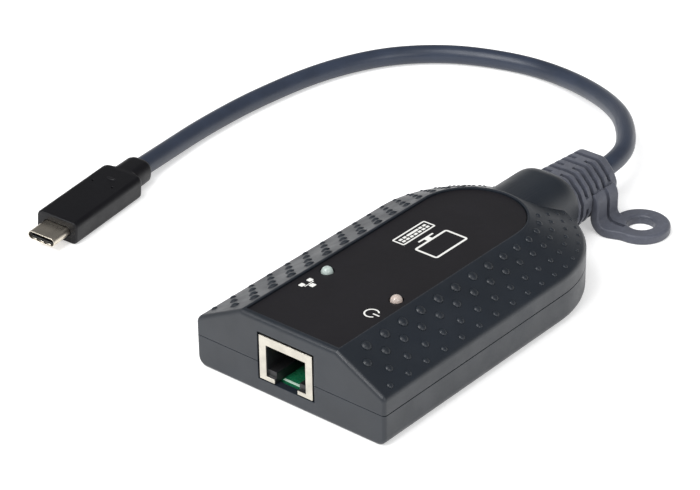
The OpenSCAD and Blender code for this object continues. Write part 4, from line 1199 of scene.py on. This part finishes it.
def make_boot():
    """Ribbed boot: grooves alternate, half of them bridged above and below, half at the sides."""
    half = sizes().groove_width / MM / 2
    boot = boot_body("boot")
    slabs, bridges = [], []
    for i in range(GROOVES):
        y = NECK_END + GROOVE_FIRST + GROOVE_PITCH * i
        slabs.append(block("slab", (-12, y - half, -4), (12, y + half, 22)))
        if i % 2:
            low, high = (BOOT_Z + z for z in BRIDGE_BESIDE)
            bridges.append(block("bridge", (-13, y - 1, low), (13, y + 1, high)))
        else:
            low, high = BRIDGE_ABOVE
            bridges.append(block("bridge", (low, y - 1, -5), (high, y + 1, 23)))
    grooves = several("grooves", *slabs)
    combine(grooves, boot_body("core", sizes().groove_depth / MM))
    combine(grooves, several("bridges", *bridges))
    combine(boot, grooves)
    root = NECK_END - NECK_WALL
    combine(boot, bar("throat", (0, BOOT_Z), BOOT_THROAT, "Y", root, NECK_END + 1), "UNION")
    combine(boot, bar("flange", (0, BOOT_Z), BOOT_FLANGE, "Y", root - 2.5, root), "UNION")
    combine(boot, bar("bore", (0, BOOT_Z), BOOT_BORE, "Y", NECK_END - 5, BOOT_END + 1))

    def pick(p):
        ends = [p.x - x for x in BRIDGE_ABOVE] + [p.z - BOOT_Z - z for z in BRIDGE_BESIDE]
        return NECK_END + 0.6 < p.y < BOOT_END - 0.2 and min(map(abs, ends)) > 0.06

    soften(boot, 0.26, 50, pick, 2, 35)
    return dress(boot, boot_elastomer(), ["cable_boot"])


def lug_path():
    """Middle line of the strap and arm in XZ: each place with the way out to its upper side."""
    x, z, r = LUG_BEND
    path = list(STRAP_WAY)
    for k in range(1, 9):
        a = math.radians(180 + 90 * k / 8)
        path.append((x + r * math.cos(a), z + r * math.sin(a), -math.cos(a), -math.sin(a)))
    return path + [(x, LUG_T / 2, 0.0, 1.0) for x in ARM_PLACES]


def ribbon(name, path, edges, low, high, round_edge):
    """Band swept along a path in XZ, its front and back edges given place by place."""
    rings = []
    for (x, z, u, v), (y0, y1) in zip(path, edges):
        section = rounded([(y0, low), (y1, low), (y1, high), (y0, high)], [round_edge] * 4, 4)
        rings.append([(x + u * off, y, z + v * off) for y, off in section])
    return loft(name, rings)


def make_lug():
    """Strap down the boot's side that bends out to a flat arm, and the ring for a tie."""
    path = lug_path()
    edges = [STRAP_EDGES] * (len(path) - len(ARM_EDGES)) + list(ARM_EDGES)
    lug = ribbon("tie_ring", path, edges, -LUG_T / 2, LUG_T / 2, 0.6)
    section = [(LUG_BORE, 0), (LUG_R, 0), (LUG_R, LUG_T), (LUG_BORE, LUG_T)]
    section = rounded(section, [0.4, 0.6, 0.8, 0.8], 5)
    x, y = LUG_AT
    ring = [[(x + r * c, y + r * s, z) for r, z in section] for c, s in circle(LUG_SIDES)]
    combine(lug, bar("bore", LUG_AT, LUG_CUT, "Z", -1, LUG_T + 1, LUG_SIDES))
    combine(lug, loft("ring", ring, endless=True), "UNION")
    way = [SLOT_START] + path[:-2]
    combine(lug, ribbon("slot", way, [LUG_SLOT] * len(way), 0.35, 3.0, 0.25))
    soften(lug, None, sharp=38)
    return dress(lug, boot_elastomer(), ["tie_lug"])


class ADAPTER_OT_boot(bpy.types.Operator):
    """Ribbed cable boot and its tie lug"""

    bl_idname = "adapter.boot"
    bl_label = "Boot and lug"

    def execute(self, context):
        make_boot()
        make_lug()
        return {"FINISHED"}


# Cable


def smooth_route(route, parts=8):
    """Points on one smooth curve through the route's points."""
    points = [Vector(p) for p in route]
    first = points[0] + (points[0] - points[1])
    plug_way = Vector((-math.sin(PLUG_YAW), math.cos(PLUG_YAW), 0))
    last = points[-1] - plug_way * (points[-1] - points[-2]).length
    chain = [first, *points, last]
    out = []
    for i in range(1, len(chain) - 2):
        a, b, c, d = chain[i - 1 : i + 3]
        for k in range(parts):
            t = k / parts
            out.append(0.5 * (2 * b + (c - a) * t + (2 * a - 5 * b + 4 * c - d) * t * t
                              + (3 * b - a - 3 * c + d) * t ** 3))
    out.append(points[-1])
    for _ in range(20):
        out[2:-2] = [(out[i - 1] + 2 * out[i] + out[i + 1]) / 4 for i in range(2, len(out) - 2)]
    return out


class ADAPTER_OT_cable(bpy.types.Operator):
    """Cable from the boot to the plug, one tube along its route"""

    bl_idname = "adapter.cable"
    bl_label = "Cable"

    def execute(self, context):
        line = smooth_route(CABLE_ROUTE)
        r = sizes().cable_thickness / MM / 2
        sides = 28
        points, marks, gone = [], [], 0.0
        for i, p in enumerate(line):
            way = (line[min(i + 1, len(line) - 1)] - line[max(i - 1, 0)]).normalized()
            if i == 0:
                way = Vector((0, 1, 0))
            across = way.cross(Vector((0, 0, 1))).normalized()
            up = across.cross(way)
            gone += (p - line[i - 1]).length if i else 0.0
            points += [p + r * (c * across + s * up) for c, s in circle(sides)]
            marks += [gone] * sides
        faces = []
        for i in range(len(line) - 1):
            for k in range(sides):
                j = (k + 1) % sides
                faces.append([i * sides + k, i * sides + j, (i + 1) * sides + j, (i + 1) * sides + k])
        ends = [list(range(sides))[::-1], [(len(line) - 1) * sides + k for k in range(sides)]]
        mesh = bpy.data.meshes.new("cable")
        mesh.from_pydata([p * MM for p in points], [], faces + ends)
        uv = mesh.uv_layers.new(name="along")
        for face in mesh.polygons:
            turns = [v % sides for v in (mesh.loops[i].vertex_index for i in face.loop_indices)]
            wrap = max(turns) - min(turns) > sides / 2
            for i, turn in zip(face.loop_indices, turns):
                v = mesh.loops[i].vertex_index
                uv.data[i].uv = ((turn + (sides if wrap and turn < sides / 2 else 0)) / sides, marks[v] / 10)
        mesh.update()
        with editing(mesh) as work:
            bmesh.ops.recalc_face_normals(work, faces=work.faces)
        mesh.shade_smooth()
        mesh.set_sharp_from_angle(angle=math.radians(40))
        cable = show("cable", mesh)
        finish = material("TPE jacket, blue-grey", jacket, tuple(colours().cable))
        dress(cable, finish, ["usb_cable"])
        route = [p * MM for p in line]
        length = sum((b - a).length for a, b in zip(route, route[1:]))
        pieces = [make_plug_moulding(), *make_plug_metal()]
        pieces += [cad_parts[n] for n in ("plug_contacts", "plug_board")]
        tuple(route[0])
        return {"FINISHED"}


# Plug: its own frame has the moulding's front face at the origin and +Y along the cable


def at_plug(body):
    place = Matrix.Translation(Vector(PLUG_AT) * MM)
    turn = Matrix.Rotation(PLUG_YAW, 4, "Z") @ Matrix.Rotation(PLUG_ROLL, 4, "Y")
    body.data.transform(place @ turn)
    return body


def box_ring(y, w, t, r, lift=0.0, steps=5):
    soft = rounded([(w / 2, t / 2), (-w / 2, t / 2), (-w / 2, -t / 2), (w / 2, -t / 2)], [r] * 4, steps)
    return [(u, y, v + lift) for u, v in soft]


def oval_ring(y, w, t, steps=14):
    ring = []
    for side in (1, -1):
        for k in range(steps + 1):
            a = math.radians(-90 + 180 * k / steps)
            ring.append((side * ((w - t) / 2 + t / 2 * math.cos(a)), y, side * t / 2 * math.sin(a)))
    return ring


def make_plug_moulding():
    """Moulding over the plug: flat-sided grip with a rounded collar behind it."""
    grip, end = PLUG_LEN, PLUG_END
    stations = [
        (0.0, 11.7, 5.6, 1.2), (0.06, 12.0, 5.9, 1.3), (0.22, 12.3, 6.2, 1.4), (0.5, 12.5, 6.4, 1.5),
        (grip - 1.2, 12.5, 6.4, 1.5), (grip - 0.7, 12.35, 6.36, 1.5), (grip - 0.3, 11.9, 6.3, 1.5),
        (grip - 0.05, 11.0, 6.26, 1.6), (grip + 0.1, 9.6, 6.26, 1.9), (grip + 0.5, 8.7, 6.26, 2.3),
        (grip + 1.1, 8.3, 6.26, 2.5), (end - 1.2, 8.2, 6.2, 2.6), (end - 0.6, 7.55, 6.0, 2.5),
        (end - 0.2, 7.0, 5.75, 2.4), (end, 6.2, 5.5, 2.3),
    ]
    body = loft("plug_grip", [box_ring(*s) for s in stations])
    combine(body, loft("slot", [oval_ring(y, 8.5, 2.65) for y in (-1, 3.0)]))
    combine(body, block("card", (-4.2, 2.5, -0.4), (4.2, 17.0, 0.4)))
    combine(body, bars("marks", PLUG_MARKS, 0.35, 2.6, 4, 20))
    oval = [[(GATE[0] * part * c, GATE_Y + GATE[1] * part * s, z) for c, s in circle(24)]
            for part, z in GATE_RINGS]
    combine(body, loft("gate", oval), "UNION")
    soften(body, 0.06, 50, lambda p: p.y < 0.1 or p.z > 3.0, 1, 32)
    at_plug(body)
    finish = material("PVC overmoulding, black", moulded_plastic, tuple(colours().plug), rough=(0.38, 0.5),
                      grain_mm=0.25, wear=1.8, gloss=0.26)
    return dress(body, finish, ["plug_cover"])


def make_plug_metal():
    """Drawn shell with its rolled lip, the insert inside it and the ground springs."""
    front, wall = -SHELL_OUT, 2 * SHELL_WALL
    way = ((SHELL_ROOT, 0), (front + 0.2, 0), (front + 0.06, 0.06), (front, 0.2), (front, wall - 0.16),
           (front + 0.08, wall), (SHELL_ROOT, wall))
    rings = [oval_ring(y, SHELL_W - less, SHELL_T - less) for y, less in way]
    shell = loft("plug_tube", rings, endless=True)
    soften(shell, None, sharp=50)
    at_plug(shell)
    steel = material("Nickel-plated drawn steel", sheet_metal, linear("#dad2c4"), rough=(0.26, 0.34),
                     line_mm=0.3, stretch=(1.0, 0.05, 1.0), depth_mm=0.0006)
    dress(shell, steel, ["plug_shell"])
    core = refined("plug_core", "plug_insert", 0.06)
    dress(core, dark_moulding(), ["plug_insert"])
    bright = material("Bright spring steel", sheet_metal, linear("#dedcd6"), rough=(0.15, 0.25), line_mm=0.1)
    springs = refined("plug_ground_springs", "plug_springs", 0.08)
    dress(springs, bright, ["plug_springs"])
    return [shell, core, springs]


class ADAPTER_OT_inner_parts(bpy.types.Operator):
    """Materials of the board, its parts, the wires and the screws"""

    bl_idname = "adapter.inner_parts"
    bl_label = "Inner parts"

    def execute(self, context):
        board = material("Glass-epoxy board, green mask", board_laminate, tuple(colours().board))
        package = material("Epoxy chip package", moulded_plastic, linear("#1b1b1d"), rough=(0.5, 0.62),
                           grain_mm=0.12)
        can = material("Drawn aluminium can", sheet_metal, linear("#c9cacb"), rough=(0.22, 0.34),
                       stretch=(1, 1, 0.08))
        passive = material("Fired ceramic, tan", moulded_plastic, linear("#b59d7a"), rough=(0.5, 0.6),
                           grain_mm=0.15, wear=1.1)
        wire = material("Wire insulation, grey", elastomer, linear("#9a9a98"), sheen=0.05)
        tail = material("TPE jacket inside the boot", elastomer, tuple(colours().cable))
        finishes = {
            board: ["main_board", "plug_board"],
            package: ["video_processor", "frame_memory", "network_chip", "flash_memory", "line_transformer",
                      "supply_inductor"],
            can: ["clock_crystal", "supply_capacitors", "crimp_ring"],
            passive: ["small_passives"],
            pale_moulding(): ["cable_header", "header_plug"],
            dark_moulding(): ["lamp_spacers"],
            wire: ["lead_wires"],
            tail: ["cable_tail"],
            tinned_sheet(): ["lamp_leads"],
            gold_plate(): ["plug_contacts"],
            screw_steel(): ["housing_screws", "board_screws"],
        }
        for finish, nodes in finishes.items():
            for node in nodes:
                paint(node, finish)
        return {"FINISHED"}


# Camera and stage


class ADAPTER_OT_camera(bpy.types.Operator):
    """Camera at the product picture's angle"""

    bl_idname = "adapter.camera"
    bl_label = "Camera"

    def execute(self, context):
        lens = bpy.data.cameras.new("camera")
        lens.lens = CAMERA_LENS
        lens.sensor_width = 36.0
        lens.sensor_fit = "HORIZONTAL"
        lens.clip_start = 0.01
        lens.clip_end = 20.0
        camera = show("camera", lens)
        turn = Matrix((CAMERA_RIGHT, CAMERA_UP, CAMERA_BACK)).transposed().to_4x4()
        camera.matrix_world = Matrix.Translation(CAMERA_AT) @ turn
        context.scene.camera = camera
        return {"FINISHED"}


def softbox(name, place, size, power):
    light = bpy.data.lights.new(name, "AREA")
    light.shape = "RECTANGLE"
    light.size, light.size_y = size
    light.energy = power
    made = show(name, light)
    made.location = place
    made.rotation_euler = (Vector(STAGE_CENTRE) - Vector(place)).to_track_quat("-Z", "Y").to_euler()


def studio_floor(name):
    """Painted paper sweep: matt and pale, and white where only the camera or a gloss sees it."""
    made, tree, shader, where = start_material(name)
    base = coats(tree, (0.80, 0.80, 0.80, 1), (pattern(tree, where, 40, 3, 0, 1), (0.82, 0.82, 0.82, 1)))
    finish_shader(tree, shader, base, 0.9, pattern(tree, where, 1.5, 2), Specular_IOR_Level=0.0)
    path = add(tree, "ShaderNodeLightPath").outputs
    seen = path["Is Camera Ray"]
    for ray in ("Is Glossy Ray", "Is Transmission Ray"):
        seen = add(tree, "ShaderNodeMath", {0: seen, 1: path[ray]}, operation="MAXIMUM")
    lift = add(tree, "ShaderNodeMath", {0: seen, 1: 0.42}, operation="MULTIPLY")
    glow = add(tree, "ShaderNodeEmission", {"Color": (1, 1, 1, 1), "Strength": lift})
    output = next(n for n in tree.nodes if n.bl_idname == "ShaderNodeOutputMaterial")
    feed(tree, output, {"Surface": add(tree, "ShaderNodeAddShader", {0: shader, 1: glow})})
    return made


def studio_world(scene):
    """White for the camera and for glass; a gloss sees the white sweep low down and a dark room above."""
    world = bpy.data.worlds.new("studio")
    world.use_nodes = True
    tree = world.node_tree
    tree.nodes.clear()
    where = add(tree, "ShaderNodeTexCoord").outputs["Generated"]
    height = add(tree, "ShaderNodeSeparateXYZ", {0: where}).outputs[2]
    low_down = {"Value": height, "From Min": 0.03, "From Max": 0.32, "To Min": 1.0, "To Max": 0.2}
    sweep = add(tree, "ShaderNodeMapRange", low_down)
    path = add(tree, "ShaderNodeLightPath").outputs
    gloss = add(tree, "ShaderNodeMath", {0: path["Is Glossy Ray"], 1: sweep}, operation="MULTIPLY")
    soft = add(tree, "ShaderNodeMath", {0: path["Is Diffuse Ray"], 1: 0.55}, operation="MULTIPLY")
    seen = path["Is Camera Ray"]
    for share in (path["Is Transmission Ray"], gloss, soft):
        seen = add(tree, "ShaderNodeMath", {0: seen, 1: share}, operation="MAXIMUM")
    sky = add(tree, "ShaderNodeBackground", {"Color": (1, 1, 1, 1), "Strength": seen})
    add(tree, "ShaderNodeOutputWorld", {"Surface": sky})
    scene.world = world


class ADAPTER_OT_stage(bpy.types.Operator):
    """Pale floor, soft lamps and white surroundings"""

    bl_idname = "adapter.stage"
    bl_label = "Stage"

    def execute(self, context):
        mesh = bpy.data.meshes.new("floor")
        ring = [(FLOOR_R * c, FLOOR_R * s, 0) for c, s in circle(64)]
        mesh.from_pydata(ring, [], [list(range(len(ring)))])
        floor = show("floor", mesh)
        mesh.materials.append(studio_floor("Painted paper sweep"))
        floor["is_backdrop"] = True
        for lamp in SOFTBOXES:
            softbox(*lamp)
        studio_world(context.scene)
        context.scene.view_settings.view_transform = "Standard"
        return {"FINISHED"}


STEPS = (
    "camera", "cable", "covers", "grip_bumps", "top_plate", "jack", "contacts", "lamps", "boot",
    "inner_parts", "stage",
)


class ADAPTER_PT_panel(bpy.types.Panel):
    """Sizes, colours and pieces of the adapter"""

    bl_idname = "ADAPTER_PT_panel"
    bl_label = "Adapter"
    bl_space_type = "VIEW_3D"
    bl_region_type = "UI"
    bl_category = "Adapter"

    def draw(self, context):
        layout = self.layout
        for group in (context.scene.adapter_sizes, context.scene.adapter_colours):
            box = layout.box()
            for name in group.__annotations__:
                box.prop(group, name)
        for step in STEPS:
            layout.operator("adapter." + step)


CLASSES = (
    AdapterSizes, AdapterColours, ADAPTER_OT_camera, ADAPTER_OT_cable, ADAPTER_OT_covers,
    ADAPTER_OT_grip_bumps, ADAPTER_OT_top_plate, ADAPTER_OT_jack, ADAPTER_OT_contacts, ADAPTER_OT_lamps,
    ADAPTER_OT_boot, ADAPTER_OT_inner_parts, ADAPTER_OT_stage, ADAPTER_PT_panel,
)


def register():
    for kind in CLASSES:
        bpy.utils.register_class(kind)
    bpy.types.Scene.adapter_sizes = bpy.props.PointerProperty(type=AdapterSizes)
    bpy.types.Scene.adapter_colours = bpy.props.PointerProperty(type=AdapterColours)


def unregister():
    del bpy.types.Scene.adapter_colours
    del bpy.types.Scene.adapter_sizes
    for kind in reversed(CLASSES):
        bpy.utils.unregister_class(kind)


def main():
    register()
    for step in STEPS:
        getattr(bpy.ops.adapter, step)()
    boxes = {"cad": SOLID_BOX, "visual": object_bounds()}
    {name: [list(low), list(high)] for name, (low, high) in boxes.items()}


if __name__ == "__main__":
    main()
